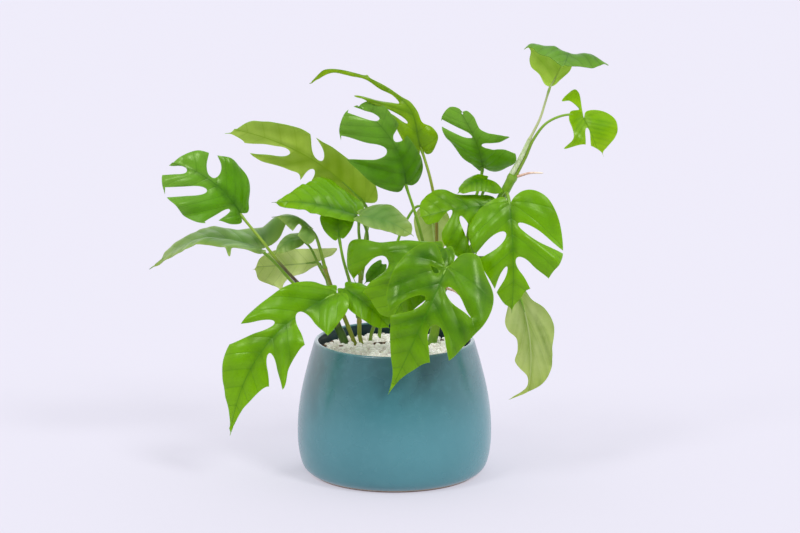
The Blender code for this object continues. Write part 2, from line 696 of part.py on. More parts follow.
    make_leaf(
        "leaf_inner_curled",
        Blade((-69, 0, 206), (-100, -5, 215), (0.0, -0.3, 0.95), arch=5, curl=1.2),
        right=[(-5, 7), (0, 16), (12, 15), (24, 8)],
        left=[(-6, -6), (-2, -14), (10, -14), (22, -8)],
        cuts=[((8, -4), (14, -18), 4, 6)],
        petiole=[inner.top(), (-61, 4, 187), (-65, 2, 199)],
        colour=pale)
    make_leaf(
        "leaf_left_dark",
        Blade((-78, 15, 195), (-99, 5, 181), (0.0, -0.5, 0.8), arch=4, curl=0.5),
        right=[(-3, 5), (5, 12), (15, 12), (23, 8)],
        left=[(-3, -5), (4, -12), (14, -11), (22, -6)],
        petiole=[inner.seat(0.7, (-57, 14, 160), 1.5), (-62, 15, 170), (-70, 17, 186)],
        colour=dark,
        slim=0.8)
    make_leaf(
        "leaf_left_pale",
        Blade((-62, 30, 170), (-118, 34, 165), (0.0, 0.8, 0.5), arch=5, curl=0.3),
        right=[(-2, 5), (8, 12), (21, 19), (32, 37), (37, 28), (42, 26), (50, 18), (55, 9)],
        left=[(-4, -3), (-12, -6), (-15, -14), (-5, -17), (6, -13), (23, -16), (45, -12), (54, -6)],
        cuts=[((24, 9), (24, 36), 5, 9)],
        petiole=[left_stem.seat(0.85, (-55, 24, 142), 1.5), (-56, 28, 155)],
        colour=pale)
    make_leaf(
        "leaf_middle_grey",
        Blade((-29, -12, 218), (16, -20, 202), (0.1, -0.6, 0.8), arch=6, curl=0.4),
        right=[(-3, 4), (6, 8), (18, 10), (31, 9), (42, 5)],
        left=[(-3, -5), (3, -12), (18, -20), (35, -17), (44, -9)],
        petiole=[centre.top(), (-28, -2, 190), (-29, -9, 207)],
        colour=pale)
    make_leaf(
        "leaf_middle_pale",
        Blade((30, 45, 212), (35, 40, 168), (0.0, 0.9, 0.3), arch=3, curl=0.3),
        right=[(-4, 6), (4, 14), (16, 15), (30, 10)],
        left=[(-4, -6), (4, -14), (16, -15), (30, -11)],
        petiole=[(-15, 38, 82), (-12, 34, 113), (-8, 42, 140), (2, 50, 180), (17, 54, 209)],
        rooted=True,
        colour=pale)
    make_leaf(
        "leaf_inner_small",
        Blade((-10, -10, 177), (-25, -16, 161), (0.0, -0.8, 0.5), curl=0.5),
        right=[(-2, 3), (6, 6), (15, 5)],
        left=[(-2, -3), (6, -7), (15, -5)],
        petiole=[centre.seat(0.7, (-18, 4, 158), 1.2), (-11, -1, 169)],
        colour=dark,
        slim=0.8)
    make_leaf(
        "leaf_crown_recurved",
        Blade((125, 0, 318), (135, -30, 345), (0.12, 0.3, 0.9), arch=24, fold=0.04),
        right=[(2, 6), (8, 15), (16, 20), (23, 35), (31, 31), (38, 18)],
        left=[(2, -5), (8, -12), (16, -21), (24, -40), (32, -35), (39, -17)],
        petiole=[stems["sheath"].top(), (118, -4, 296), (122, -1, 308)],
        colour=dark,
        slim=0.75)
    beside = Vector((0.89, 0.0, -0.45))
    make_leaf(
        "leaf_crown_drooping",
        Blade((153, -5, 297), (165, -14, 269), (0.0, -0.8, 0.5), arch=4, fold=0.2),
        right=[(-7, -1), (-21, -4), (-24, 0), (-20, 6), (-12, 5), (-5, 9), (5, 14), (14, 18), (19, 27), (21, 10),
               (27, 4)],
        left=[(-4, -4), (-2, -12), (4, -19), (13, -22), (23, -19), (29, -10)],
        cuts=[((9, 1), (27, 7), 4, 5)],
        petiole=[main.top() + beside * 2.3, (108.5, -6, 265), (113.5, -6, 279),
                 (125, -5, 293), (142, -3, 299)],
        colour=lime,
        slim=0.85)


def main():
    clear_scene()
    stems = make_stems()
    for stem in stems.values():
        stem.build()
    make_leaves(stems)
    make_pot()
    holes = []
    for _ in range(2):
        cuts = [hole_for(stems[name].path[0], stems[name].path[1], stems[name].foot_radius)
                for name in ("main", "left", "inner", "centre")]
        cuts.append(hole_for((-24, 28, 82), (-19, 16, 113), PETIOLE_RADIUS))
        cuts.append(hole_for((-15, 38, 82), (-12, 34, 113), PETIOLE_RADIUS))
        holes.append(cuts)
    make_soil(holes[0])
    make_gravel(holes[1])


main()
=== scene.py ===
"""Potted mini monstera: the finish of its glazed pot, white gravel, stems and leaves.

Sizes are millimetres, turned into metres as each mesh is made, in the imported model's own frame.
"""
import math
import random

import bmesh
import bpy
import numpy as np
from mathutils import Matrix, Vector
from mathutils.geometry import delaunay_2d_cdt


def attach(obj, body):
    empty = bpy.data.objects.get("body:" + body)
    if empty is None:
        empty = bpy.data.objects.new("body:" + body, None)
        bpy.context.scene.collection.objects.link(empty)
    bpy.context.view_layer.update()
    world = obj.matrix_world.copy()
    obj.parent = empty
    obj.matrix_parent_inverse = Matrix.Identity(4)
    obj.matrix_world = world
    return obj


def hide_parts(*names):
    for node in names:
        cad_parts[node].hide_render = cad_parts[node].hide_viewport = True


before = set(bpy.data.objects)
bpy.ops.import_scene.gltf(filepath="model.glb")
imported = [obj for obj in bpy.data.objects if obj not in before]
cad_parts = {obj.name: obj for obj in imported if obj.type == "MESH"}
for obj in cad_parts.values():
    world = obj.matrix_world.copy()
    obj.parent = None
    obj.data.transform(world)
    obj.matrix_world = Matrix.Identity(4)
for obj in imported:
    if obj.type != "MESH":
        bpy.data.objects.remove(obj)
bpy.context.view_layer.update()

# The pot is slip-cast stoneware, turned smooth, dipped in a teal satin glaze and wiped bare round its foot.
# It is one body: foot, belly, shoulder, rounded lip and inner wall. The glaze breaks thinner and paler on the lip,
# and has fine pinholes and a faint orange peel. The outer wall is painted darker towards its top, painted shade of
# the leaves above; the inner wall is painted near black, painted shade inside the pot; and the lowest edge of the
# bare foot is painted dark brown, a painted contact shadow.

MM = 0.001
POT_SIDES = 144
POT_HEIGHT = 112.0
BELLY_RADIUS = 80.0
WALL = 4.5
BARE_FOOT = 2.4


def add_piece(name, points, faces, materials, slots=None, sharp=40):
    mesh = bpy.data.meshes.new(name)
    mesh.from_pydata((np.asarray(points) * MM).tolist(), [], faces)
    for material in materials:
        mesh.materials.append(material)
    if slots is not None:
        mesh.polygons.foreach_set("material_index", slots)
    piece = bpy.data.objects.new(name, mesh)
    bpy.context.scene.collection.objects.link(piece)
    mesh.shade_smooth()
    mesh.set_sharp_from_angle(angle=math.radians(sharp))
    return piece


def smooth_through(points, steps):
    """A centripetal curve through the points, with a number of steps between neighbours."""
    held = [np.asarray(p, float) for p in points]
    held = [held[0] * 2 - held[1]] + held + [held[-1] * 2 - held[-2]]
    path = []
    for a, b, c, d in zip(held, held[1:], held[2:], held[3:]):
        ta = 0.0
        tb = ta + math.sqrt(np.linalg.norm(b - a))
        tc = tb + math.sqrt(np.linalg.norm(c - b))
        td = tc + math.sqrt(np.linalg.norm(d - c))
        for step in range(steps):
            t = tb + (tc - tb) * step / steps
            ab = a * ((tb - t) / (tb - ta)) + b * ((t - ta) / (tb - ta))
            bc = b * ((tc - t) / (tc - tb)) + c * ((t - tb) / (tc - tb))
            cd = c * ((td - t) / (td - tc)) + d * ((t - tc) / (td - tc))
            abc = ab * ((tc - t) / (tc - ta)) + bc * ((t - ta) / (tc - ta))
            bcd = bc * ((td - t) / (td - tb)) + cd * ((t - tb) / (td - tb))
            path.append(abc * ((tc - t) / (tc - tb)) + bcd * ((t - tb) / (tc - tb)))
    path.append(np.asarray(points[-1], float))
    return path


class Finish:
    """One material's nodes: each method adds a node and gives back the socket that the next one reads."""

    def __init__(self, name):
        self.material = bpy.data.materials.new(name)
        self.material.use_nodes = True
        self.tree = self.material.node_tree
        self.shader = self.tree.nodes["Principled BSDF"]
        self.place = self.tree.nodes.new("ShaderNodeTexCoord").outputs["Object"]

    def put(self, value, socket):
        if isinstance(value, bpy.types.NodeSocket):
            self.tree.links.new(value, socket)
        elif isinstance(value, tuple) and len(value) == 3 and len(socket.default_value) == 4:
            socket.default_value = (*value, 1.0)
        else:
            socket.default_value = value

    def node(self, kind, inputs, output=0, **settings):
        made = self.tree.nodes.new(kind)
        for key, value in settings.items():
            setattr(made, key, value)
        for key, value in inputs.items():
            self.put(value, made.inputs[key])
        return made.outputs[output]

    def noise(self, scale, detail=3.0, roughness=0.5, place=None):
        inputs = {"Vector": place or self.place, "Scale": scale, "Detail": detail, "Roughness": roughness}
        return self.node("ShaderNodeTexNoise", inputs)

    def cells(self, scale, feature="F1"):
        return self.node("ShaderNodeTexVoronoi", {"Vector": self.place, "Scale": scale}, feature=feature)

    def math(self, operation, a, b=0.0):
        return self.node("ShaderNodeMath", {0: a, 1: b}, operation=operation)

    def times(self, a, b):
        return self.math("MULTIPLY", a, b)

    def axis(self, vector, index):
        """One number out of three: 0 is x, 1 is y and 2 is z."""
        return self.node("ShaderNodeSeparateXYZ", {0: vector}, output=index)

    def painted(self, name, output=1):
        """What the mesh carries under this name: three numbers at each point, or one with output 2."""
        return self.node("ShaderNodeAttribute", {}, output=output, attribute_name=name)

    def span(self, value, low, high, start=0.0, end=1.0):
        """Low to high is stretched to start to end, with soft ends."""
        inputs = {"Value": value, "From Min": low, "From Max": high, "To Min": start, "To Max": end}
        return self.node("ShaderNodeMapRange", inputs, interpolation_type="SMOOTHSTEP")

    def mix(self, share, a, b):
        made = self.tree.nodes.new("ShaderNodeMix")
        made.data_type = "RGBA"
        for value, index in ((share, 0), (a, 6), (b, 7)):
            self.put(value, made.inputs[index])
        return made.outputs[2]

    def bump(self, height, distance, strength=1.0, under=None):
        inputs = {"Height": height, "Distance": distance, "Strength": strength}
        if under is not None:
            inputs["Normal"] = under
        return self.node("ShaderNodeBump", inputs)

    def set(self, **inputs):
        for key, value in inputs.items():
            self.put(value, self.shader.inputs[key.replace("_", " ")])


def teal_glaze():
    glaze = Finish("teal_glaze")
    height = glaze.axis(glaze.place, 2)
    cloud = glaze.noise(14.0, 4.0, 0.55)
    fine = glaze.noise(160.0, 3.0)
    body = glaze.mix(glaze.span(cloud, 0.3, 0.7), (0.046, 0.208, 0.240), (0.058, 0.238, 0.272))
    # Darker towards the top of the wall: painted shade of the leaves that hang over the pot.
    painted_leaf_shade = glaze.span(height, 0.035, 0.108, 0.0, 0.95)
    body = glaze.mix(painted_leaf_shade, body, (0.026, 0.122, 0.134))
    body = glaze.mix(glaze.span(fine, 0.45, 0.8, 0.0, 0.2), body, (0.085, 0.270, 0.300))
    thin = glaze.span(height, (POT_HEIGHT - 1.6) * MM, (POT_HEIGHT - 0.3) * MM, 0.0, 0.25)
    body = glaze.mix(thin, body, (0.120, 0.300, 0.320))
    pinholes = glaze.span(glaze.cells(420.0), 0.06, 0.11, 1.0, 0.0)
    scarce = glaze.span(glaze.noise(60.0), 0.58, 0.66)
    pinholes = glaze.times(pinholes, scarce)
    body = glaze.mix(glaze.times(pinholes, 0.5), body, (0.012, 0.050, 0.055))
    peel = glaze.math("SUBTRACT", glaze.noise(260.0, 2.0), glaze.times(pinholes, 0.8))
    wave = glaze.noise(24.0, 2.0)
    normal = glaze.bump(wave, 0.0006, 0.5)
    normal = glaze.bump(peel, 0.00006, 0.5, normal)
    gloss = glaze.span(glaze.noise(38.0, 3.0), 0.3, 0.7, 0.22, 0.30)
    glaze.set(Base_Color=body, Roughness=gloss, Normal=normal)
    glaze.shader.inputs["Specular IOR Level"].default_value = 0.6
    glaze.shader.inputs["Coat Weight"].default_value = 0.35
    glaze.shader.inputs["Coat Roughness"].default_value = 0.3
    return glaze.material


# The inner wall carries the same teal glaze painted near black: painted shade inside the pot.
def inside_glaze_painted_shade():
    glaze = Finish("inside_glaze_painted_shade")
    cloud = glaze.noise(30.0, 4.0)
    body = glaze.mix(glaze.span(cloud, 0.3, 0.7), (0.004, 0.024, 0.030), (0.009, 0.045, 0.054))
    glaze.set(Base_Color=body, Roughness=0.4, Normal=glaze.bump(glaze.noise(200.0), 0.0001, 0.8))
    glaze.shader.inputs["Specular IOR Level"].default_value = 0.3
    return glaze.material


def bare_stoneware():
    clay = Finish("bare_stoneware")
    grain = clay.noise(900.0, 4.0, 0.7)
    tone = clay.mix(clay.span(grain, 0.3, 0.7), (0.34, 0.25, 0.17), (0.60, 0.49, 0.38))
    height = clay.axis(clay.place, 2)
    # The lowest millimetre of the foot is dark brown: painted contact shadow where the pot stands on the floor.
    tone = clay.mix(clay.span(height, 0.0007, 0.0013, 1.0, 0.0), tone, (0.10, 0.045, 0.035))
    grit = clay.span(clay.cells(700.0), 0.05, 0.2, 1.0, 0.0)
    tone = clay.mix(clay.times(grit, 0.6), tone, (0.10, 0.06, 0.04))
    clay.set(Base_Color=tone, Roughness=0.85, Normal=clay.bump(grain, 0.0002, 0.7))
    return clay.material


def pot_outside(steps):
    """Radius and height up the outer wall, from the foot's edge to the lip."""
    belly = [(67.5, 0.0), (75.0, 6.0), (79.0, 19.0), (BELLY_RADIUS, 40.0), (77.6, 64.0)]
    neck = [(71.2, 92.0), (66.0, 110.0)]
    return smooth_through(belly + neck, steps)


def wall_inside(height):
    """Inner radius at a height, from the outer wall less its thickness."""
    outer = np.array(pot_outside(8))
    return float(np.interp(height, outer[:, 1], outer[:, 0])) - WALL


def turned(profile, sides):
    """Points and faces of a profile of radii and heights turned on the pot's axis."""
    points = []
    rings = []
    for radius, height in profile:
        if radius == 0.0:
            rings.append([len(points)])
            points.append((0.0, 0.0, height))
            continue
        rings.append(list(range(len(points), len(points) + sides)))
        for k in range(sides):
            turn = 2 * math.pi * k / sides
            points.append((radius * math.cos(turn), radius * math.sin(turn), height))
    faces = []
    for lower, upper in zip(rings, rings[1:]):
        for k in range(sides):
            after = (k + 1) % sides
            if len(lower) == 1:
                faces.append((lower[0], upper[after], upper[k]))
            elif len(upper) == 1:
                faces.append((lower[k], lower[after], upper[0]))
            else:
                faces.append((lower[k], lower[after], upper[after], upper[k]))
    return points, faces


outer_wall = pot_outside(8)
lip = smooth_through([(66.0, 110.0), (65.3, 111.5), (64.1, POT_HEIGHT), (62.9, 111.5), (62.2, 110.0)], 4)[1:]
inner_wall = [(wall_inside(z), z) for z in (105.0, 100.0, 92.0, 78.0, 64.0, 52.0, 40.0, 27.0, 14.0)]
foot_ring = [(0.0, 1.2), (54.0, 1.2), (57.0, 0.0), (65.6, 0.0)]
profile = foot_ring + outer_wall + lip + inner_wall + [(58.0, 9.0), (0.0, 9.0)]
points, faces = turned(profile, POT_SIDES)
glazed = []
for face in faces:
    middle = np.mean([points[i] for i in face], axis=0)
    inside = math.hypot(middle[0], middle[1]) < wall_inside(min(middle[2], 110.0)) + 1.0
    glazed.append(1 if max(points[i][2] for i in face) < BARE_FOOT else 2 if inside else 0)
pot = add_piece("glazed_pot", points, faces, [teal_glaze(), bare_stoneware(), inside_glaze_painted_shade()], glazed)
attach(pot, "root")
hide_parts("pot")

# The potting mix is bark and peat, damp and dark, and fills the pot to 20 mm below its lip. The gravel hides it
# but for a few crumbs at the wall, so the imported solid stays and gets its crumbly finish.


def potting_mix():
    mix = Finish("potting_mix")
    lumps = mix.cells(190.0)
    crumb = mix.noise(420.0, 5.0, 0.65)
    tone = mix.mix(mix.span(crumb, 0.3, 0.72), (0.012, 0.007, 0.004), (0.075, 0.042, 0.022))
    tone = mix.mix(mix.span(mix.noise(90.0), 0.62, 0.7, 0.0, 0.5), tone, (0.16, 0.095, 0.05))
    normal = mix.bump(lumps, 0.0015, 0.8)
    mix.set(Base_Color=tone, Roughness=0.92, Normal=mix.bump(crumb, 0.0006, 0.8, normal))
    return mix.material


soil_look = potting_mix()
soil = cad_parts["soil"]
soil.data.materials.clear()
soil.data.materials.append(soil_look)

# The gravel is a top dressing of washed off-white marble chips, 3 to 7 mm, poured loose in a bed about 10 mm deep.
# Every chip is its own squashed and chipped stone, laid by a seeded rule in three layers, with the bed below them.

SOIL_TOP = 92.0
GRAVEL_TOP = 101.5
GRAVEL_CROWN = 3.0
GRAVEL_RADIUS = 58.0
ROW_STEP = 0.87
CHIP_LAYERS = [(4.875, 63.6, 3.4, (2.2, 3.0)), (3.9, 63.6, 1.0, (1.6, 2.9)), (7.8, 62.0, -1.3, (1.6, 3.2))]
KNOCKED_CORNERS = 12
LESS_KNOCKED = 30
BED_SIDES = 48
BED_DEPTH = 5.0
STEM_FEET = {
    "stem_main": ((26, 25, 80), (33, 20, 112), 3.9),
    "stem_left": ((-32, 23, 79), (-44, 17, 112), 3.6),
    "stem_inner": ((-25, 23, 81), (-36, 18, 112), 1.9),
    "stem_centre": ((-22, 13, 80), (-29, 15, 112), 1.8),
    "leaf_front_behind": ((-24, 28, 82), (-19, 16, 113), 1.6),
    "leaf_middle_pale": ((-15, 38, 82), (-12, 34, 113), 1.6),
}


def marble_chips():
    chips = Finish("marble_chips")
    tone = chips.painted("chip_tone", 2)
    grain = chips.noise(520.0, 4.0, 0.6)
    cloud = chips.noise(150.0, 2.0)
    body = chips.mix(chips.span(tone, 0.0, 1.0), (0.66, 0.63, 0.56), (0.90, 0.89, 0.86))
    body = chips.mix(chips.span(tone, 0.0, 0.05, 0.6, 0.0), body, (0.34, 0.27, 0.19))
    body = chips.mix(chips.span(cloud, 0.45, 0.75, 0.0, 0.25), body, (0.82, 0.76, 0.63))
    body = chips.mix(chips.span(grain, 0.6, 0.78, 0.0, 0.3), body, (0.55, 0.49, 0.40))
    normal = chips.bump(grain, 0.0003, 0.6)
    # The faint emission is painted light: it lifts the chips where the leaves shade them.
    chips.set(Base_Color=body, Roughness=chips.span(cloud, 0.3, 0.7, 0.6, 0.8), Normal=normal,
              Emission_Color=(1.0, 0.98, 0.96), Emission_Strength=0.1)
    return chips.material


def unit_chip():
    """Corners and faces of a round stone, before it is squashed."""
    ball = bmesh.new()
    bmesh.ops.create_icosphere(ball, subdivisions=2, radius=1.0)
    corners = np.array([v.co[:] for v in ball.verts])
    faces = np.array([[v.index for v in f.verts] for f in ball.faces])
    ball.free()
    return corners, faces


def spun(angle):
    """A turn on the upright axis."""
    return np.array([[math.cos(angle), -math.sin(angle), 0.0], [math.sin(angle), math.cos(angle), 0.0],
                     [0.0, 0.0, 1.0]])


def gravel_height(radius):
    return GRAVEL_TOP + GRAVEL_CROWN * (1.0 - (radius / GRAVEL_RADIUS) ** 2)


def chip_places(rng, spacing, rim, sink, sizes):
    """Jittered places for one layer of chips, with each chip's size; the layer lies so far under the top."""
    places = []
    row = -rim
    shift = 0.0
    while row <= rim:
        column = -rim + shift
        while column <= rim:
            x = column + rng.uniform(-0.3, 0.3) * spacing
            y = row + rng.uniform(-0.3, 0.3) * spacing
            size = rng.uniform(*sizes)
            radius = math.hypot(x, y)
            if radius + size * 0.9 < rim:
                places.append((x, y, gravel_height(radius) - sink + rng.uniform(-0.8, 0.8), size))
            column += spacing
        row += spacing * ROW_STEP
        shift = spacing * 0.5 - shift
    return places


def clear_of_stems(place):
    """False where a stem's foot passes through a chip."""
    x, y, z, size = place
    for low, out, radius in STEM_FEET.values():
        low = np.array(low, float)
        heading = np.array(out, float) - low
        at = low + heading * (z - low[2]) / heading[2]
        if math.hypot(x - at[0], y - at[1]) < radius + size * 0.55:
            return False
    return True


rng = random.Random(11)
corners, chip_faces = unit_chip()
places = [place for layer in CHIP_LAYERS for place in chip_places(rng, *layer)]
chip_points = []
all_faces = []
tones = []
for place in places:
    if not clear_of_stems(place):
        continue
    x, y, z, size = place
    stretch = np.array([rng.uniform(0.85, 1.4), rng.uniform(0.75, 1.1), rng.uniform(0.55, 0.85)]) * size
    knocked = [rng.uniform(0.86, 1.08) for _ in range(KNOCKED_CORNERS)]
    knocked = np.array(knocked + [rng.uniform(0.93, 1.03) for _ in range(LESS_KNOCKED)])
    stone = corners * knocked[:, None] * stretch
    turn = spun(rng.uniform(0.0, math.pi))
    tip = rng.uniform(-0.5, 0.5)
    lean = np.array([[1.0, 0.0, 0.0], [0.0, math.cos(tip), -math.sin(tip)], [0.0, math.sin(tip), math.cos(tip)]])
    all_faces.extend((chip_faces + len(chip_points) * len(corners)).tolist())
    chip_points.append(stone @ (turn @ lean).T + np.array([x, y, z]))
    tones.extend([rng.random()] * len(corners))
bed_profile = [(0.0, SOIL_TOP + 0.4), (wall_inside(SOIL_TOP) - 0.8, SOIL_TOP + 0.4), (63.9, 97.5)]
bed_profile += [(radius, gravel_height(radius) - BED_DEPTH) for radius in (40.0, 20.0, 0.0)]
bed_points, bed_faces = turned(bed_profile, BED_SIDES)
shift = len(tones)
all_faces.extend([tuple(i + shift for i in face) for face in bed_faces])
tones.extend([0.3] * len(bed_points))
gravel = add_piece("gravel_chips", np.vstack(chip_points + [np.array(bed_points)]), all_faces, [marble_chips()],
                   sharp=38)
gravel.data.attributes.new("chip_tone", "FLOAT", "POINT").data.foreach_set("value", tones)
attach(gravel, "root")
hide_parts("gravel")

# Bits of bark have worked up out of the potting mix: a few crumbs against the wall at the left and behind the
# stems, and one thin curved twig that lies on the gravel in front.

BARK_CRUMBS = [(-59, 12, 4.2), (-61, 5, 3.4), (-56, 19, 3.8), (-60, -3, 2.6), (-52, 27, 3.2), (14, 50, 4.4),
               (24, 46, 3.6), (4, 54, 3.0), (34, 38, 3.4), (39, 30, 2.6), (-44, 9, 2.2)]
TWIG_PATH = [(-17, 11, 105.2), (-12, 8, 106.4), (-6, 8.5, 106.6), (-1, 12, 105.6)]


def bark():
    brown = Finish("bark")
    streak = brown.noise(300.0, 5.0, 0.7)
    tone = brown.mix(brown.span(streak, 0.35, 0.7), (0.045, 0.022, 0.010), (0.22, 0.125, 0.065))
    brown.set(Base_Color=tone, Roughness=0.85, Normal=brown.bump(streak, 0.0005, 0.8))
    return brown.material


def tube(path, radii, sides):
    """Points and faces of a closed round tube along a path, with its radius at each point of the path."""
    path = [np.asarray(p, float) for p in path]
    heading = path[1] - path[0]
    side = np.array(Vector(heading).orthogonal().normalized())
    turns = np.arange(sides) * 2 * math.pi / sides
    points = []
    for i, centre in enumerate(path):
        heading = path[min(i + 1, len(path) - 1)] - path[max(i - 1, 0)]
        heading /= np.linalg.norm(heading)
        side = side - heading * side.dot(heading)
        side /= np.linalg.norm(side)
        across = np.cross(heading, side)
        ring = np.cos(turns)[:, None] * side + np.sin(turns)[:, None] * across
        points.append(centre + ring * radii[i])
    faces = []
    for i in range(len(path) - 1):
        for k in range(sides):
            near = i * sides + k
            beside = i * sides + (k + 1) % sides
            faces.append((near, beside, beside + sides, near + sides))
    faces.append(tuple(reversed(range(sides))))
    last = (len(path) - 1) * sides
    faces.append(tuple(last + k for k in range(sides)))
    return np.vstack(points), faces


rng = random.Random(5)
crumb_points = []
crumb_faces = []
for x, y, size in BARK_CRUMBS:
    stretch = np.array([rng.uniform(0.8, 1.3), rng.uniform(0.5, 0.8), rng.uniform(0.3, 0.5)]) * size
    stone = corners * np.array([rng.uniform(0.75, 1.15) for _ in corners])[:, None] * stretch
    turn = spun(rng.uniform(0.0, math.pi))
    crumb_faces.extend((chip_faces + len(crumb_points) * len(corners)).tolist())
    crumb_points.append(stone @ turn.T + np.array([x, y, gravel_height(math.hypot(x, y)) + 1.2]))
twig_path = smooth_through(TWIG_PATH, 4)
twig_points, twig_faces = tube(twig_path, [0.9 + 0.25 * math.sin(i * 1.9) for i in range(len(twig_path))], 8)
shift = len(crumb_points) * len(corners)
crumb_faces.extend([tuple(i + shift for i in face) for face in twig_faces])
crumbs = add_piece("bark_crumbs", np.vstack(crumb_points + [twig_points]), crumb_faces, [bark()])
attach(crumbs, "root")

# The stems are green and fleshy, with a swollen joint wherever a leaf stalk leaves. The main stem climbs to the
# right, thick and mid-green. The left stem is short and dark, and the two between them are slender and olive.
# Each stands in its hole through the gravel, in the potting mix.

STEM_STEPS = 3
STEM_FINE = 4
JOINT_REACH = 1.9
JOINT_SWELL = 0.55


def stem_skin(name, deep, bright, scar):
    skin = Finish(name)
    cloud = skin.noise(70.0, 4.0, 0.6)
    fibre = skin.noise(1.0, 3.0, 0.6, skin.node("ShaderNodeMapping", {0: skin.place, 3: (900.0, 900.0, 110.0)}))
    tone = skin.mix(skin.span(cloud, 0.3, 0.7), deep, bright)
    tone = skin.mix(skin.span(fibre, 0.5, 0.78, 0.0, 0.35), tone, scar)
    joint = skin.painted("joint", 2)
    tone = skin.mix(skin.times(joint, 0.75), tone, scar)
    normal = skin.bump(fibre, 0.0003, 0.6)
    skin.set(Base_Color=tone, Roughness=skin.span(cloud, 0.3, 0.7, 0.38, 0.52), Normal=normal)
    return skin.material


class Stem:
    """A stem's centre line, with its radius from foot to top and the shares of its length where leaves leave."""

    def __init__(self, points, foot_radius, top_radius, joints=(), rooted=True):
        held = points[1:] if rooted else points
        start = [np.asarray(points[0], float)] if rooted else []
        self.path = start + smooth_through(held, STEM_STEPS)
        fine = smooth_through(held, STEM_STEPS * STEM_FINE)
        self.fine = fine
        self.lead = [start[0] + (fine[0] - start[0]) * k / STEM_FINE for k in range(STEM_FINE)] if rooted else []
        self.foot_radius = foot_radius
        self.top_radius = top_radius
        self.joints = joints

    def radius(self, share):
        return self.foot_radius + (self.top_radius - self.foot_radius) * share

    def at(self, share):
        place = share * (len(self.path) - 1)
        i = min(int(place), len(self.path) - 2)
        heading = self.path[i + 1] - self.path[i]
        return self.path[i] + heading * (place - i), heading / np.linalg.norm(heading)

    def seat(self, share, coming_from):
        """Where a stalk from a point meets this stem, a little way into its skin."""
        point, along = self.at(share)
        approach = point - np.asarray(coming_from, float)
        approach /= np.linalg.norm(approach)
        slant = np.linalg.norm(approach - along * approach.dot(along))
        return point - approach * (self.radius(share) - 0.4) / max(slant, 0.35)

    def top(self):
        return self.at(1.0)[0]

    def build(self, name, node, skin, sides, close=0.0):
        path = self.lead + self.fine
        lengths = np.concatenate([[0.0], np.cumsum([np.linalg.norm(b - a) for a, b in zip(path, path[1:])])])
        marks = [self.at(share)[0] for share in self.joints]
        radii = []
        swell = []
        for i, point in enumerate(path):
            share = i / (len(path) - 1)
            near = max([math.exp(-(np.linalg.norm(point - mark) / JOINT_REACH) ** 2) for mark in marks] or [0.0])
            end = min(1.0, (lengths[-1] - lengths[i]) / max(close, 0.01)) if close else 1.0
            radii.append((self.radius(share) + JOINT_SWELL * near) * math.sqrt(max(1.0 - (1.0 - end) ** 2, 0.02)))
            swell.append(near)
        points, faces = tube(path, radii, sides)
        piece = add_piece(name, points, faces, [skin], sharp=60)
        piece.data.attributes.new("joint", "FLOAT", "POINT").data.foreach_set("value", np.repeat(swell, sides))
        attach(piece, "root")
        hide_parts(node)


main = Stem([*STEM_FEET["stem_main"][:2], (39, 14, 150), (52, 6, 173), (70, 0, 195), (88, -4, 232), (97, -5, 250)],
            3.9, 3.8, (0.19, 0.27, 0.34, 0.5, 0.62, 0.77, 0.97))
left_stem = Stem([*STEM_FEET["stem_left"][:2], (-48, 15, 121), (-54, 13, 133)], 3.6, 2.8, (0.6, 0.85, 1.0))
inner = Stem([*STEM_FEET["stem_inner"][:2], (-43, 14, 131), (-51, 10, 151), (-57, 6, 170)], 1.9, 1.6, (0.7, 1.0))
centre = Stem([*STEM_FEET["stem_centre"][:2], (-29, 12, 132), (-28, 4, 165)], 1.8, 1.6, (0.4, 0.7, 0.85))
green_skin = stem_skin("stem_green", (0.115, 0.280, 0.003), (0.205, 0.400, 0.006), (0.240, 0.400, 0.040))
dark_skin = stem_skin("stem_dark", (0.030, 0.085, 0.006), (0.070, 0.170, 0.010), (0.180, 0.160, 0.060))
olive_skin = stem_skin("stem_olive", (0.200, 0.250, 0.012), (0.330, 0.380, 0.030), (0.340, 0.230, 0.060))
main.build("main_stem", "stem_main", green_skin, 22)
left_stem.build("left_stem", "stem_left", dark_skin, 18)
inner.build("inner_stem", "stem_inner", olive_skin, 14)
centre.build("centre_stem", "stem_centre", olive_skin, 14)

# The newest leaf grows out of a papery sheath at the main stem's tip, pale and waxy green-white. Two aerial roots
# leave the main stem, thin and pinkish cream, and taper to a blunt point in the air.

BESIDE = np.array([0.89, 0.0, -0.45])


def sheath_skin():
    paper = Finish("sheath_paper")
    fibre = paper.noise(1.0, 4.0, 0.6, paper.node("ShaderNodeMapping", {0: paper.place, 3: (1400.0, 1400.0, 90.0)}))
    height = paper.axis(paper.place, 2)
    tone = paper.mix(paper.span(fibre, 0.35, 0.7), (0.44, 0.56, 0.26), (0.70, 0.78, 0.52))
    tone = paper.mix(paper.span(height, 0.262, 0.285, 0.0, 0.7), tone, (0.36, 0.50, 0.16))
    paper.set(Base_Color=tone, Roughness=0.5, Normal=paper.bump(fibre, 0.0002, 0.7))
    return paper.material


def root_skin():
    skin = Finish("aerial_root")
    streak = skin.noise(500.0, 3.0)
    height = skin.axis(skin.place, 0)
    tone = skin.mix(skin.span(streak, 0.3, 0.7), (0.55, 0.30, 0.22), (0.80, 0.58, 0.46))
    tone = skin.mix(skin.span(height, 0.106, 0.120, 0.0, 0.85), tone, (0.90, 0.80, 0.62))
    skin.set(Base_Color=tone, Roughness=0.6, Normal=skin.bump(streak, 0.0002, 0.6))
    return skin.material


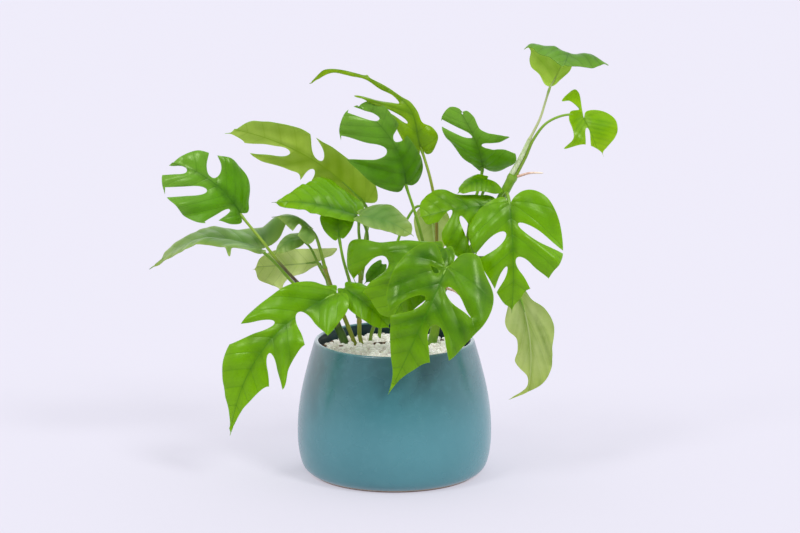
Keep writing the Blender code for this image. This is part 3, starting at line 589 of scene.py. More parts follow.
stem_top, stem_heading = main.at(1.0)
sheath = Stem([stem_top - BESIDE * 1.7 - stem_heading * 1.5, (103, -6, 265), (109.5, -6, 279)], 2.3, 1.7,
              rooted=False)
sheath.build("newest_leaf_sheath", "leaf_sheath", sheath_skin(), 16)
root_look = root_skin()
for name, node, share, out, far in (
        ("upper_aerial_root", "aerial_root", 0.97, (110, -9, 252), (121, -9, 252)),
        ("lower_aerial_root", "lower_root", 0.27, (50, 4, 151), (56, -2, 147))):
    root = Stem([main.seat(share, out), out, far], 1.15, 0.65, rooted=False)
    root.build(name, node, root_look, 12, close=3.0)

# A leaf is a thin waxy blade on its own round stalk, grown as one. The blade is folded along its midrib, quilted
# between its side veins, and split or pierced where the young leaf stopped growing. The midrib is sunk in the
# upper face and stands out below. The stalk thickens into a knee under the blade.

BLADE_THICKNESS = 0.5
BLADE_GRID = 1.8
OUTLINE_STEPS = 7
RIM_ROLL = 0.7
RIM_REACH = 2.2
LOBE_ROLL = 1.7
LOBE_REACH = 7.0
VALLEY = 1.3
FULL_SPACING = 14.0
RIB_LANES = (-1.9, -0.8, 0.8, 1.9)
RIB_CLEAR = 2.9
RIB_STEP = 1.9
RIB_SUNK = 0.45
RIB_PROUD = 0.75
TAIL = 4.5
TAIL_HALF_WIDTH = 0.55
STALK_RADIUS = 1.6
STALK_SIDES = 12
STALK_STEPS = 6
ROOT_STEPS = 4
KNEE_BACK = 3.5
KNEE_REACH = 3.2
KNEE_SWELL = 0.30


class Blade:
    """A leaf's surface: u runs from its base to its tip, v to its right as seen on the upper face."""

    def __init__(self, base, tip, face, arch=0.0, bow=0.0, fold=0.0, curl=0.0, droop=0.0, wave=0.0, slant=0.7,
                 veins=7, quilt=0.9, lift=1.6, lobes=1.0, bends=(), seed=0):
        self.base = np.asarray(base, float)
        chord = np.asarray(tip, float) - self.base
        self.length = np.linalg.norm(chord)
        self.along = chord / self.length
        face = np.asarray(face, float)
        up = face - self.along * face.dot(self.along)
        self.up = up / np.linalg.norm(up)
        self.right = np.cross(self.along, self.up)
        self.arch, self.bow, self.fold, self.curl = arch, bow, fold, curl
        self.droop, self.wave = droop, wave
        self.slant, self.lift, self.lobes, self.bends = slant, lift, lobes, bends
        self.spacing = self.length / veins
        self.depth = min(self.spacing / FULL_SPACING, 1.0)
        self.quilt = quilt * self.depth
        self.valley = VALLEY * min(self.length / 90.0, 1.0)
        self.phase = np.array([random.Random(seed + k).uniform(0.0, 6.28) for k in range(4)])

    def midrib(self, u):
        share = np.clip(u / self.length, 0.0, 1.0)
        return self.bow * 4.0 * share * (1.0 - share)

    def rib_width(self, u):
        return 1.5 - 1.1 * np.clip(u / self.length, 0.0, 1.0)

    def vein(self, u, off):
        """Whole numbers lie on the side veins, which leave the midrib at a slant and fan back round the base."""
        ahead = u - self.slant * np.abs(off) - 0.005 * off * off
        fan = np.arctan2(ahead, np.abs(off) + 0.5) * 1.7
        return np.where(ahead >= 0.0, ahead / self.spacing, fan)

    def sheet(self, u, v):
        """The smooth sheet, bent as a whole; each bend lifts or drops the part round its own middle."""
        share = u / self.length
        off = v - self.midrib(u)
        height = self.arch * np.sin(math.pi * share) * np.where(share < 0.0, self.lobes, 1.0)
        height += self.fold * np.hypot(off, 1.5) - self.curl * off * off / self.length
        height -= self.droop * np.maximum(share - 0.55, 0.0) ** 2 / 0.2
        height += self.wave * np.sin(9.0 * share + np.copysign(0.8, off)) * (off / (0.4 * self.length)) ** 2
        for (at_u, at_v), rise, spread in self.bends:
            height += rise * np.exp(-((u - at_u) ** 2 + (v - at_v) ** 2) / spread ** 2)
        return self.base + np.outer(u, self.along) + np.outer(v, self.right) + np.outer(height, self.up)

    def relief(self, u, v):
        """What stands off the sheet: the valley at the midrib, the quilting and the uneven growth between."""
        off = v - self.midrib(u)
        height = -self.valley * np.exp(-(off / 4.5) ** 2) * (1.0 - 0.6 * np.clip(u / self.length, 0.0, 1.0))
        out = np.clip(np.abs(off) / 9.0, 0.0, 1.0)
        a, b, c, d = self.phase
        number = self.vein(u, off)
        uneven = 0.6 + 0.4 * np.sin(number * 1.7 + a + np.sign(off))
        height += self.quilt * (0.5 - 0.5 * np.cos(2 * math.pi * number)) * out * uneven
        height += self.lift * np.sin(number * 2.1 + c + np.sign(off)) * np.clip(np.abs(off) / 24.0, 0.0, 1.4) ** 2
        height += 0.9 * out * np.sin(u * 0.105 + a) * np.sin(off * 0.12 + b)
        return height + 0.5 * out * np.sin(u * 0.23 + off * 0.11 + c) * np.sin(off * 0.21 + d)

    def normal(self, u, v):
        step = 0.4
        ahead = self.sheet(u + step, v) - self.sheet(u - step, v)
        beside = self.sheet(u, v + step) - self.sheet(u, v - step)
        out = np.cross(beside, ahead)
        return out / np.linalg.norm(out, axis=1)[:, None]

    def place(self, u, v):
        return self.sheet(u, v) + self.normal(u, v) * self.relief(u, v)[:, None]


class PinnedBlade(Blade):
    """A blade whose sheet is drawn smoothly through pins: places on the flat leaf and where they stand in the air."""

    def __init__(self, length, pins, veins=7, quilt=0.9, lift=0.8, seed=0):
        super().__init__((0, 0, 0), (length, 0, 0), (0, 0, 1), veins=veins, quilt=quilt, lift=lift, seed=seed)
        self.flat = np.array([pin[0] for pin in pins], float)
        count = len(pins)
        system = np.zeros((count + 3, count + 3))
        system[:count, :count] = self.bulge(self.flat) + 12.0 * np.eye(count)
        system[:count, count] = 1.0
        system[:count, count + 1:] = self.flat
        system[count:, :count] = system[:count, count:].T
        held = np.zeros((count + 3, 3))
        held[:count] = [pin[1] for pin in pins]
        self.weights = np.linalg.solve(system, held)

    def bulge(self, points):
        square = ((points[:, None] - self.flat[None]) ** 2).sum(2) + 1e-6
        return 0.5 * square * np.log(square)

    def sheet(self, u, v):
        points = np.stack([u, v], 1)
        return np.hstack([self.bulge(points), np.ones((len(points), 1)), points]) @ self.weights


def rim_outline(length, right, left, apex, steps):
    """The uncut outline, up one side from the notch at the base, out round a thin drip tip and back down."""
    notch = (0.02 * length, 0.0)
    point = np.array(apex or (length, 0.0))
    lead = point - (np.array(right[-1], float) + np.array(left[-1], float)) / 2
    reach = np.linalg.norm(lead)
    lead /= reach
    neck = point - lead * min(TAIL, 0.4 * reach)
    aside = np.array([-lead[1], lead[0]]) * TAIL_HALF_WIDTH
    up_right = smooth_through([notch] + list(right) + [neck + aside, point], steps)
    up_left = smooth_through([notch] + list(left) + [neck - aside, point], steps)
    return up_left[:-1] + list(reversed(up_right))[:-1]


def cut_outline(inner_end, outer_end, width, mouth, steps):
    """A split between lobes: round at its inner end, widest a third of the way out, then down to its mouth."""
    inner_end = np.asarray(inner_end, float)
    axis = np.asarray(outer_end, float) - inner_end
    across = np.array([-axis[1], axis[0]]) / np.linalg.norm(axis)
    sides = []
    for i in range(1, steps + 1):
        t = (i / steps) ** 1.5
        rise = math.sqrt(1.0 - (1.0 - min(t / 0.35, 1.0)) ** 2)
        blend = max(t - 0.35, 0.0) / 0.65
        half = 0.5 * rise * (width + (mouth - width) * blend * blend * (3.0 - 2.0 * blend))
        sides.append((inner_end + axis * t, max(half, 0.05)))
    return ([inner_end] + [point - across * half for point, half in sides]
            + [point + across * half for point, half in reversed(sides)])


def rim_distance(points, outlines):
    """Shortest distance from each point to any of the closed outlines."""
    best = np.full(len(points), 1e9)
    for outline in outlines:
        a = np.array(outline)
        side = np.roll(a, -1, axis=0) - a
        long2 = np.maximum((side ** 2).sum(1), 1e-9)
        for start in range(0, len(points), 400):
            part = points[start:start + 400, None, :] - a[None]
            share = np.clip((part * side[None]).sum(2) / long2[None], 0.0, 1.0)
            gap = np.linalg.norm(part - share[:, :, None] * side[None], axis=2).min(1)
            best[start:start + 400] = np.minimum(best[start:start + 400], gap)
    return best


def flat_triangles(blade, right, left, cuts, apex):
    """The cut blade laid flat: its points and its triangles, closer together along the midrib."""
    rim = rim_outline(blade.length, right, left, apex, OUTLINE_STEPS)
    outlines = [rim] + [cut_outline(*cut, OUTLINE_STEPS * 2 + 3) for cut in cuts]
    corners = []
    rings = []
    for outline in outlines:
        rings.append(list(range(len(corners), len(corners) + len(outline))))
        corners.extend(outline)
    reach = blade.length * 1.3
    grid = []
    for row in range(int(2 * reach / (BLADE_GRID * ROW_STEP))):
        across = -reach + row * BLADE_GRID * ROW_STEP
        start = -reach + (row % 2) * BLADE_GRID * 0.5
        column = np.arange(start, reach, BLADE_GRID)
        grid.append(np.stack([column, np.full(len(column), across)], 1))
    grid = np.vstack(grid)
    grid = grid[np.abs(grid[:, 1] - blade.midrib(grid[:, 0])) > RIB_CLEAR]
    along = np.arange(0.05 * blade.length, 0.985 * blade.length, RIB_STEP)
    beside = [np.stack([along, blade.midrib(along) + off], 1) for off in RIB_LANES]
    inside = np.vstack([grid] + beside)
    inside = inside[rim_distance(inside, outlines) > 0.45 * BLADE_GRID]
    rib = np.stack([along, blade.midrib(along)], 1)
    held = rim_distance(rib, outlines) > 0.3
    edges = []
    for k, keep in enumerate(held):
        if keep:
            corners.append(rib[k])
            if k and held[k - 1]:
                edges.append((len(corners) - 2, len(corners) - 1))
    corners.extend(inside)
    found = delaunay_2d_cdt([Vector(p) for p in corners], edges, rings, 1, 1e-5)
    kept = [tuple(t) for t, source in zip(found[2], found[5]) if list(source) == [0]]
    flat = np.array([p[:] for p in found[0]])
    return flat, largest_patch(kept), outlines


def largest_patch(triangles):
    """The triangles that hold together as one piece; loose scraps between two cuts are dropped."""
    by_edge = {}
    for i, triangle in enumerate(triangles):
        for a, b in zip(triangle, triangle[1:] + triangle[:1]):
            by_edge.setdefault((min(a, b), max(a, b)), []).append(i)
    near = {i: set() for i in range(len(triangles))}
    for shared in by_edge.values():
        for i in shared:
            near[i].update(shared)
    unseen = set(near)
    best = set()
    while unseen:
        patch = set()
        front = [unseen.pop()]
        while front:
            i = front.pop()
            patch.add(i)
            front.extend(near[i] & unseen)
            unseen -= near[i]
        if len(patch) > len(best):
            best = patch
    return [triangles[i] for i in sorted(best)]


def leaf_face(name, deep, bright, tip, vein, shine, glow, matte=0.0, ridge=0.25, thin=0.38):
    """One face of a blade. The veins attribute holds the side vein's number, the midrib's and the rim's distance."""
    face = Finish(name)
    read = face.painted("veins")
    number = face.axis(read, 0)
    rib = face.axis(read, 1)
    rim = face.axis(read, 2)
    grown = face.painted("growth")
    share = face.axis(grown, 0)
    tone = face.axis(grown, 1)
    depth = face.axis(grown, 2)
    line = face.math("PINGPONG", number, 0.5)
    side_vein = face.span(line, 0.0, 0.075, 1.0, 0.0)
    fine = face.math("PINGPONG", face.times(number, 4.0), 0.5)
    fine_vein = face.span(fine, 0.0, 0.16, 1.0, 0.0)
    midrib = face.span(rib, 0.25, 0.8, 1.0, 0.0)
    painted_rib_shade = face.span(rib, 1.0, 5.5, 1.0, 0.0)
    net = face.span(face.cells(330.0, "DISTANCE_TO_EDGE"), 0.02, 0.10, 1.0, 0.0)
    cloud = face.noise(38.0, 4.0, 0.55)
    speck = face.noise(700.0, 3.0, 0.6)
    body = face.mix(face.span(face.math("ADD", face.times(tone, 0.35), face.times(cloud, 0.8)),
                              0.35, 0.8), deep, bright)
    # Deep green beside the midrib: painted shade in the crease along it.
    body = face.mix(face.times(painted_rib_shade, 0.7), body, deep)
    # Lighter between the side veins: painted light on the puffs of the quilting.
    body = face.mix(face.span(line, 0.06, 0.4, 0.0, 0.3), body, bright)
    body = face.mix(face.span(share, 0.35, 1.05, 0.0, 0.6), body, tip)
    # Lighter within 9 mm of the rim: painted light on the rolled edges of the lobes.
    body = face.mix(face.span(rim, 0.5, 9.0, 0.25, 0.0), body, tip)
    body = face.mix(face.times(net, 0.07), body, vein)
    # A thin pale line along the rim: painted highlight on the edge.
    body = face.mix(face.span(rim, 0.1, 1.1, 0.4, 0.0), body, tip)
    body = face.mix(face.times(fine_vein, 0.06), body, vein)
    body = face.mix(face.times(side_vein, 0.28), body, vein)
    body = face.mix(face.times(midrib, 0.75), body, vein)
    body = face.mix(face.span(speck, 0.55, 0.8, 0.0, 0.16), body, deep)
    relief = face.math("ADD", face.times(fine_vein, -0.35), face.times(side_vein, -1.0))
    relief = face.math("ADD", relief, face.times(net, -0.3))
    swell = face.times(face.math("SINE", face.times(line, math.pi)), depth)
    normal = face.bump(swell, 0.0009, 1.2 * ridge)
    normal = face.bump(relief, 0.0002, ridge, normal)
    normal = face.bump(face.noise(1500.0, 2.0), 0.00004, 0.5, normal)
    normal = face.bump(face.noise(95.0, 3.0), 0.0005, 0.35, normal)
    gloss = face.span(face.noise(55.0, 3.0), 0.3, 0.7, 0.25 + matte, 0.40 + matte)
    face.set(Base_Color=body, Roughness=gloss, Normal=normal)
    face.shader.inputs["Specular IOR Level"].default_value = shine
    face.shader.inputs["Specular Tint"].default_value = (0.85, 1.0, 0.6, 1.0)
    through = face.node("ShaderNodeBsdfTranslucent", {"Color": face.mix(0.5, body, glow), "Normal": normal})
    blend = face.node("ShaderNodeMixShader", {0: thin, 1: face.shader.outputs[0], 2: through})
    face.tree.links.new(blend, face.tree.nodes["Material Output"].inputs["Surface"])
    return face.material


def stalk_skin(name, foot, top, turns=(0.2, 0.85)):
    skin = Finish(name)
    grown = skin.painted("growth")
    share = skin.axis(grown, 0)
    knee = skin.axis(grown, 2)
    cloud = skin.noise(120.0, 3.0)
    streak = skin.noise(900.0, 3.0, 0.6)
    tone = skin.mix(skin.span(share, *turns), foot, top)
    tone = skin.mix(skin.span(cloud, 0.35, 0.7, 0.0, 0.2), tone, (0.30, 0.46, 0.04))
    tone = skin.mix(skin.span(streak, 0.5, 0.8, 0.0, 0.15), tone, (0.40, 0.40, 0.10))
    tone = skin.mix(skin.times(knee, 0.6), tone, (0.150, 0.330, 0.010))
    skin.set(Base_Color=tone, Roughness=0.42, Normal=skin.bump(streak, 0.0002, 0.5))
    return skin.material


LEAF_FACES = {
    # Its tip colour, lighter and greyer, is partly the tip's own colour and partly painted sheen on the upper leaf.
    "deep": leaf_face("upper_deep", (0.018, 0.105, 0.0), (0.105, 0.325, 0.0), (0.230, 0.440, 0.060),
                      (0.030, 0.140, 0.002), 0.5, (0.40, 0.75, 0.0)),
    "fresh": leaf_face("upper_fresh", (0.025, 0.122, 0.0), (0.155, 0.385, 0.0), (0.270, 0.530, 0.0),
                       (0.045, 0.190, 0.001), 0.5, (0.55, 0.88, 0.0)),
    "lime": leaf_face("upper_lime", (0.100, 0.290, 0.0), (0.270, 0.540, 0.0), (0.400, 0.620, 0.008),
                      (0.120, 0.300, 0.002), 0.45, (0.65, 0.90, 0.01), ridge=0.15),
    "olive": leaf_face("upper_olive", (0.090, 0.220, 0.0), (0.210, 0.410, 0.001), (0.320, 0.480, 0.006),
                       (0.070, 0.190, 0.0), 0.45, (0.60, 0.80, 0.01)),
    # Its grey-green is partly the leaf's own colour and partly painted sheen, the white room reflected on leaves
    # facing up.
    "grey": leaf_face("upper_grey", (0.105, 0.250, 0.045), (0.250, 0.430, 0.120), (0.450, 0.570, 0.130),
                      (0.130, 0.290, 0.070), 0.5, (0.45, 0.75, 0.07), 0.03),
    "pale": leaf_face("under_pale", (0.260, 0.400, 0.035), (0.680, 0.740, 0.330), (0.560, 0.640, 0.150),
                      (0.700, 0.770, 0.400), 0.3, (0.70, 0.85, 0.10), 0.12, -0.9),
    # A brighter copy of the underside: painted light, for an underside lit through from behind.
    "glow": leaf_face("under_painted_backlight", (0.330, 0.500, 0.020), (0.620, 0.740, 0.120), (0.680, 0.780, 0.220),
                      (0.280, 0.460, 0.020), 0.3, (0.85, 0.98, 0.06), 0.1, -0.4, 0.5),
    # A near-white copy of the underside: its pale colour plus painted light, for an underside hanging in shade.
    "pale_painted_light": leaf_face("under_pale_painted_light", (0.740, 0.860, 0.280), (0.900, 0.960, 0.480), (0.800, 0.900, 0.300),
                     (0.400, 0.520, 0.180), 0.3, (0.90, 0.97, 0.40), 0.12, -0.4, 0.15),
    # A bright copy of the underside: painted light, for lobes lit through the leaf above them.
    "lit": leaf_face("under_lit", (0.440, 0.700, 0.060), (0.600, 0.820, 0.130), (0.520, 0.760, 0.080),
                     (0.310, 0.500, 0.050), 0.3, (0.80, 0.95, 0.10), 0.1, -0.4, 0.15),
    "under": leaf_face("under_green", (0.220, 0.420, 0.020), (0.400, 0.610, 0.055), (0.460, 0.650, 0.070),
                       (0.620, 0.760, 0.300), 0.3, (0.70, 0.93, 0.04), 0.1, -0.7, 0.42),
}
STALKS = {
    "green": stalk_skin("stalk_green", (0.160, 0.290, 0.010), (0.170, 0.370, 0.012)),
    "brown": stalk_skin("stalk_brown", (0.065, 0.035, 0.022), (0.220, 0.360, 0.015), (0.42, 0.56)),
    "ruddy": stalk_skin("stalk_ruddy", (0.260, 0.170, 0.025), (0.230, 0.370, 0.020)),
    "cream": stalk_skin("stalk_cream", (0.450, 0.500, 0.240), (0.330, 0.420, 0.140)),
}


def grow_leaf(node, blade, right, left, stalk, looks=("fresh", "under", "green"), cuts=(), apex=None, slim=1.0,
              rooted=False, tone=0.5):
    """One leaf: its blade, the outline of its two sides from the base, its cuts, and its stalk's way to the base.

    The looks are the upper face, the underside and the stalk. A darker leaf has a lower tone.
    """
    flat, triangles, outlines = flat_triangles(blade, right, left, cuts, apex)
    used = sorted({i for triangle in triangles for i in triangle})
    order = {i: k for k, i in enumerate(used)}
    u, v = flat[used].T
    off = v - blade.midrib(u)
    rib = np.abs(off) / blade.rib_width(u)
    fade = 1.0 - 0.85 * np.clip(u / blade.length, 0.0, 1.0)
    sunk = RIB_SUNK * np.exp(-(rib * 1.2) ** 2) * fade
    proud = RIB_PROUD * np.exp(-(rib * 1.1) ** 2) * fade
    edge = np.minimum(rim_distance(flat[used], outlines), 20.0)
    out = blade.normal(u, v)
    size = min(blade.length / 80.0, 1.0)
    rolled = size * (RIM_ROLL * np.exp(-edge / RIM_REACH) + LOBE_ROLL * np.exp(-edge / LOBE_REACH))
    rolled *= np.clip(rib / 4.0, 0.0, 1.0)
    middle = blade.place(u, v) - out * rolled[:, None]
    top = middle + out * (BLADE_THICKNESS / 2 - sunk)[:, None]
    bottom = middle - out * (BLADE_THICKNESS / 2 + proud)[:, None]
    shift = len(used)
    faces = []
    slots = []
    border = {}
    for triangle in triangles:
        a, b, c = (order[i] for i in triangle)
        (ax, ay), (bx, by), (cx, cy) = (flat[i] for i in triangle)
        if (bx - ax) * (cy - ay) - (by - ay) * (cx - ax) > 0:
            b, c = c, b
        faces.append((a, b, c))
        faces.append((a + shift, c + shift, b + shift))
        slots += [0, 1]
        for start, end in ((a, b), (b, c), (c, a)):
            if (end, start) in border:
                del border[(end, start)]
            else:
                border[(start, end)] = True
    for start, end in border:
        faces.append((start, start + shift, end + shift, end))
        slots.append(0)
    veins = np.stack([blade.vein(u, off), rib, edge], 1)
    growth = np.stack([u / blade.length, np.full(len(u), tone), np.full(len(u), blade.depth)], 1)
    under_u = np.array([0.02, 0.10, 0.2]) * blade.length
    under_v = blade.midrib(under_u)
    under = blade.place(under_u, under_v) - blade.normal(under_u, under_v) * np.array([[1.5], [1.15], [0.7]])
    held = [np.asarray(p, float) for p in stalk] + list(under)
    if rooted:
        lead = [held[0] + (held[1] - held[0]) * k / ROOT_STEPS for k in range(ROOT_STEPS)]
        path = lead + smooth_through(held[1:], STALK_STEPS)
    else:
        path = smooth_through(held, STALK_STEPS)
    path = np.array(path)
    walked = np.concatenate([[0.0], np.cumsum(np.linalg.norm(np.diff(path, axis=0), axis=1))])
    under_length = np.linalg.norm(under[-1] - under[0])
    knee_at = walked[-1] - under_length - KNEE_BACK
    part = walked / walked[-1]
    knee = np.exp(-((walked - knee_at) / KNEE_REACH) ** 2)
    radii = STALK_RADIUS * slim * (1.0 - 0.35 * part) + KNEE_SWELL * knee
    radii *= 1.0 - 0.72 * np.clip((walked - (walked[-1] - under_length)) / under_length, 0.0, 1.0)
    radii[0] += 0.0 if rooted else 0.5
    stalk_points, stalk_faces = tube(path, radii, STALK_SIDES)
    base = 2 * shift
    faces += [tuple(i + base for i in face) for face in stalk_faces]
    slots += [2] * len(stalk_faces)
    piece = add_piece(node.removeprefix("leaf_") + "_leaf", np.vstack([top, bottom, stalk_points]), faces,
                      [LEAF_FACES[looks[0]], LEAF_FACES[looks[1]], STALKS[looks[2]]], slots, sharp=55)
    stalk_veins = np.tile([0.0, 5.0, 20.0], (len(stalk_points), 1))
    stalk_growth = np.stack([np.repeat(part, STALK_SIDES), np.full(len(stalk_points), tone),
                             np.repeat(knee, STALK_SIDES)], 1)
    for name, values in (("veins", np.vstack([veins, veins, stalk_veins])),
                         ("growth", np.vstack([growth, growth, stalk_growth]))):
        layer = piece.data.attributes.new(name, "FLOAT_VECTOR", "POINT")
        layer.data.foreach_set("vector", values.ravel())
    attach(piece, "root")
    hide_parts(node)


grow_leaf(
    "leaf_left_fan",
    Blade((-124, -5, 217), (-179, -22, 263), (0.15, -0.85, 0.5), arch=4, bow=6, fold=0.12, curl=0.25,
          seed=3),
    right=[(-4, 5), (0, 13), (8, 27), (22, 32), (33, 32), (46, 27), (61, 21), (70, 9)],
    left=[(-4, -5), (3, -12), (15, -17), (27, -28), (38, -31), (50, -30), (61, -27), (72, -20), (76, -10)],
    cuts=[((37, 10), (52, 31), 13, 5), ((60, 2), (80, -11), 7, 9), ((37, -2), (66, -24), 8, 8),
          ((11, -3), (23, -27), 5, 6)],
    stalk=[left_stem.top(), (-74, 8, 152), (-94, -2, 176), (-108, -8, 196)],
    looks=("deep", "under", "brown"),
    tone=0.85)
grow_leaf(
    "leaf_left_long",
    Blade((-108, 8, 187), (-202, 12, 168), (-0.1, -0.15, 1.0), arch=18, fold=0.2, curl=0.3, lobes=0.2,
          bends=[((-16, 30), 11, 15), ((24, -34), -7, 6)], seed=10),
    right=[(-7, 6), (-16, 16), (-21, 27), (-15, 33), (0, 30), (16, 25), (38, 22), (60, 17), (82, 9)],
    left=[(-3, -6), (4, -15), (14, -21), (20, -23), (24, -34), (28, -22), (50, -19), (75, -10)],
    stalk=[left_stem.seat(0.6, (-72, 16, 142)), (-85, 16, 157), (-98, 12, 173)],
    looks=("grey", "pale", "green"),
    tone=0.25)
grow_leaf(
    "leaf_back_long",
    Blade((-24, 42, 218), (-134, 10, 286), (-0.3, 0.8, 0.6), arch=6, bow=-9, fold=0.08, curl=0.2, seed=17, quilt=0.6,
          veins=9),
    right=[(-2, 5), (10, 16), (32, 20), (52, 17), (60, 9), (69, 11), (89, 15), (105, 13), (118, 5)],
    left=[(-4, -4), (-6, -9), (7, -22), (31, -27), (55, -28), (79, -29), (98, -26), (115, -20), (125, -12)],
    apex=(135, 5),
    cuts=[((52, -12), (74, -31), 9, 3), ((78, -5), (116, 12), 11, 9), ((53, -2), (50, 26), 8, 15)],
    stalk=[centre.seat(0.8, (-26, 20, 172)), (-24, 32, 190), (-21, 42, 208)],
    looks=("fresh", "glow", "green"),
    tone=0.4)
grow_leaf(
    "leaf_top_arched",
    PinnedBlade(133, [
        ((0, 0), (22, 14, 267)), ((12, 0), (19, 13, 279)), ((25, 0), (17, 12, 292)), ((41, 0), (10, 10, 306)),
        ((64, 0), (-8, 7, 320)), ((95, 0), (-35, 4, 333)), ((117, 0), (-58, 2, 335)), ((133, 0), (-69, 0, 324)),
        ((4, -12), (11, 8, 273)), ((20, -14), (8, 6, 287)), ((32, -27), (-3, 0, 300)), ((50, -15), (-8, 2, 308)),
        ((75, -30), (-32, -6, 316)), ((12, 10), (29, 10, 278)), ((14, 16), (35, 8, 281)), ((22, 7), (24, 12, 288)),
        ((0, 6), (27, 11, 267)), ((41, 6), (14, 14, 309)), ((64, 8), (-3, 11, 325)), ((95, 6), (-33, 9, 336)),
        ((117, -6), (-55, -3, 330))],
        veins=9, seed=24),
    right=[(-4, 3), (-3, 8), (4, 13), (12, 16), (20, 13), (24, 6), (32, 6), (40, 5), (48, 2), (64, 2), (78, 1.5),
           (82, 4), (85, 1.5), (100, 2), (112, 3), (120, 2.5), (128, 1)],
    left=[(-4, -3), (-2, -8), (4, -13), (16, -22), (32, -28), (45, -28), (60, -31), (74, -30), (66, -24),
          (50, -11), (44, -4), (52, -2), (66, -3), (80, -2), (95, -3), (108, -2), (118, -3), (127, -1)],
    cuts=[((23, -7), (47, -36), 5, 12)],
    stalk=[main.seat(0.25, (31, 11, 166)), (35, 11, 185), (34, 12, 218), (29, 13, 245)],
    looks=("olive", "under", "ruddy"))
grow_leaf(
    "leaf_centre_back",
    Blade((10, 22, 235), (-29, -2, 306), (-0.1, -0.95, 0.3), arch=6, bow=9, fold=0.1, curl=0.2, seed=31),
    right=[(-3, 5), (-2, 10), (4, 17), (14, 22), (30, 23), (48, 21), (63, 20), (76, 17), (84, 8)],
    left=[(-2, -6), (2, -12), (17, -21), (36, -27), (49, -31), (62, -28), (76, -23), (85, -12)],
    cuts=[((38, 1), (61, -31), 14, 22), ((66, 9), (86, -8), 6, 6), ((42, 11), (50, 26), 10, 14)],
    stalk=[main.seat(0.19, (28, 22, 168)), (23, 22, 191), (17, 23, 213)],
    looks=("deep", "under", "green"))
grow_leaf(
    "leaf_centre_right",
    Blade((72, 10, 252), (55, -12, 300), (-0.35, -0.6, 0.7), arch=5, bow=5, fold=0.15, curl=0.2, seed=38),
    right=[(-6, 7), (0, 22), (9, 33), (20, 34), (33, 32), (37, 18), (43, 11), (52, 9), (58, 4)],
    left=[(-3, -3), (7, -7), (19, -12), (34, -17), (47, -20), (56, -18), (63, -10), (62, -4)],
    cuts=[((26, 8), (22, 40), 8, 17), ((35, 3), (52, -20), 6, 6)],
    stalk=[main.seat(0.5, (62, 6, 210)), (64, 7, 220), (70, 10, 240)],
    looks=("deep", "under", "green"),
    tone=0.9)
grow_leaf(
    "leaf_small_dome",
    Blade((76, -10, 248), (51, -19, 237), (0.0, -0.5, 0.85), arch=4, curl=0.8, seed=45, veins=6),
    right=[(-2, 4), (5, 9), (15, 9), (25, 5)],
    left=[(-5, -6), (-6, -13), (2, -14), (14, -9), (25, -4)],
    stalk=[main.seat(0.6, (66, 10, 206)), (68, 11, 217), (73, 2, 236)],
    tone=0.5)
grow_leaf(
    "leaf_right_large",
    Blade((93, -28, 232), (95, -40, 142), (0.1, -0.95, 0.35), arch=8, bow=-1, fold=0.12, curl=0.3, seed=52),
    right=[(-4, 4), (-3, 12), (4, 24), (12, 31), (21, 35), (31, 34), (42, 29), (53, 24), (63, 18), (74, 12),
           (83, 6)],
    left=[(-4, -4), (-9, -12), (-9, -20), (-3, -30), (10, -38), (30, -43), (44, -42), (57, -34), (67, -28),
          (72, -12), (80, -6)],
    cuts=[((17, -6), (44, -46), 8, 2), ((45, -4), (72, -26), 11, 18), ((24, 4), (47, 33), 10, 4),
          ((52, 4), (74, 14), 5, 3)],
    stalk=[main.seat(0.77, (89, -13, 233)), (91, -19, 237)],
    tone=0.85)
grow_leaf(
    "leaf_right_behind",
    Blade((80, -16, 228), (19, -20, 217), (0.0, -0.85, 0.5), arch=5, curl=0.5, seed=59, veins=6),
    right=[(-3, 4), (0, 8), (10, 10), (27, 13), (38, 20), (48, 21), (58, 13)],
    left=[(-3, -4), (4, -14), (15, -29), (26, -40), (38, -36), (46, -24), (46, -8), (56, -7)],
    cuts=[((34, 0), (56, -20), 6, 12), ((28, -6), (20, -36), 6, 9)],
    stalk=[main.seat(0.7, (86, -10, 222)), (86, -13, 226)],
    tone=0.6)
grow_leaf(
    "leaf_right_hanging",
    Blade((101, -20, 156), (109, -26, 72), (0.15, 0.9, -0.3), bow=6, fold=-0.15, curl=0.2, wave=2.5,
          seed=66, veins=4, slant=3.0, quilt=1.6),
    right=[(-2, 5), (7, 11), (15, 21), (28, 27), (47, 25), (63, 22), (73, 17), (79, 10)],
    left=[(-2, -5), (6, -8), (15, -11), (24, -13), (31, -11), (38, -5), (48, -5), (56, -8), (62, -5), (70, 1),
          (78, 0)],
    apex=(88, -16),
    stalk=[main.seat(0.49, (72, -5, 181)), (72, -5, 181), (88, -12, 182), (99, -18, 174)],
    looks=("fresh", "pale", "green"),
    tone=0.7)
grow_leaf(
    "leaf_front_large",
    Blade((42, -72, 188), (0, -88, 96), (0.05, -0.9, 0.45), arch=10, bow=-1, fold=0.1, curl=0.3, seed=73),
    right=[(-4, 5), (-9, 10), (-13, 17), (-8, 26), (6, 34), (20, 37), (40, 35), (53, 25), (70, 18), (84, 11),
           (97, 4)],
    left=[(-6, -3), (-14, -6), (-18, -13), (-18, -20), (-10, -28), (4, -43), (15, -47), (30, -46), (42, -42),
          (52, -39), (63, -35), (72, -28), (77, -17), (86, -10), (98, -3)],
    cuts=[((29, 5), (56, 28), 10, 2), ((46, -10), (78, -30), 14, 16), ((15, -6), (29, -34), 8, 0.4),
          ((7, 4), (5, 12), 4, 0.4)],
    apex=(114, 1),
    stalk=[main.seat(0.34, (52, -6, 168)), (54, -22, 178), (53, -46, 186), (48, -62, 186)],
    tone=0.25)
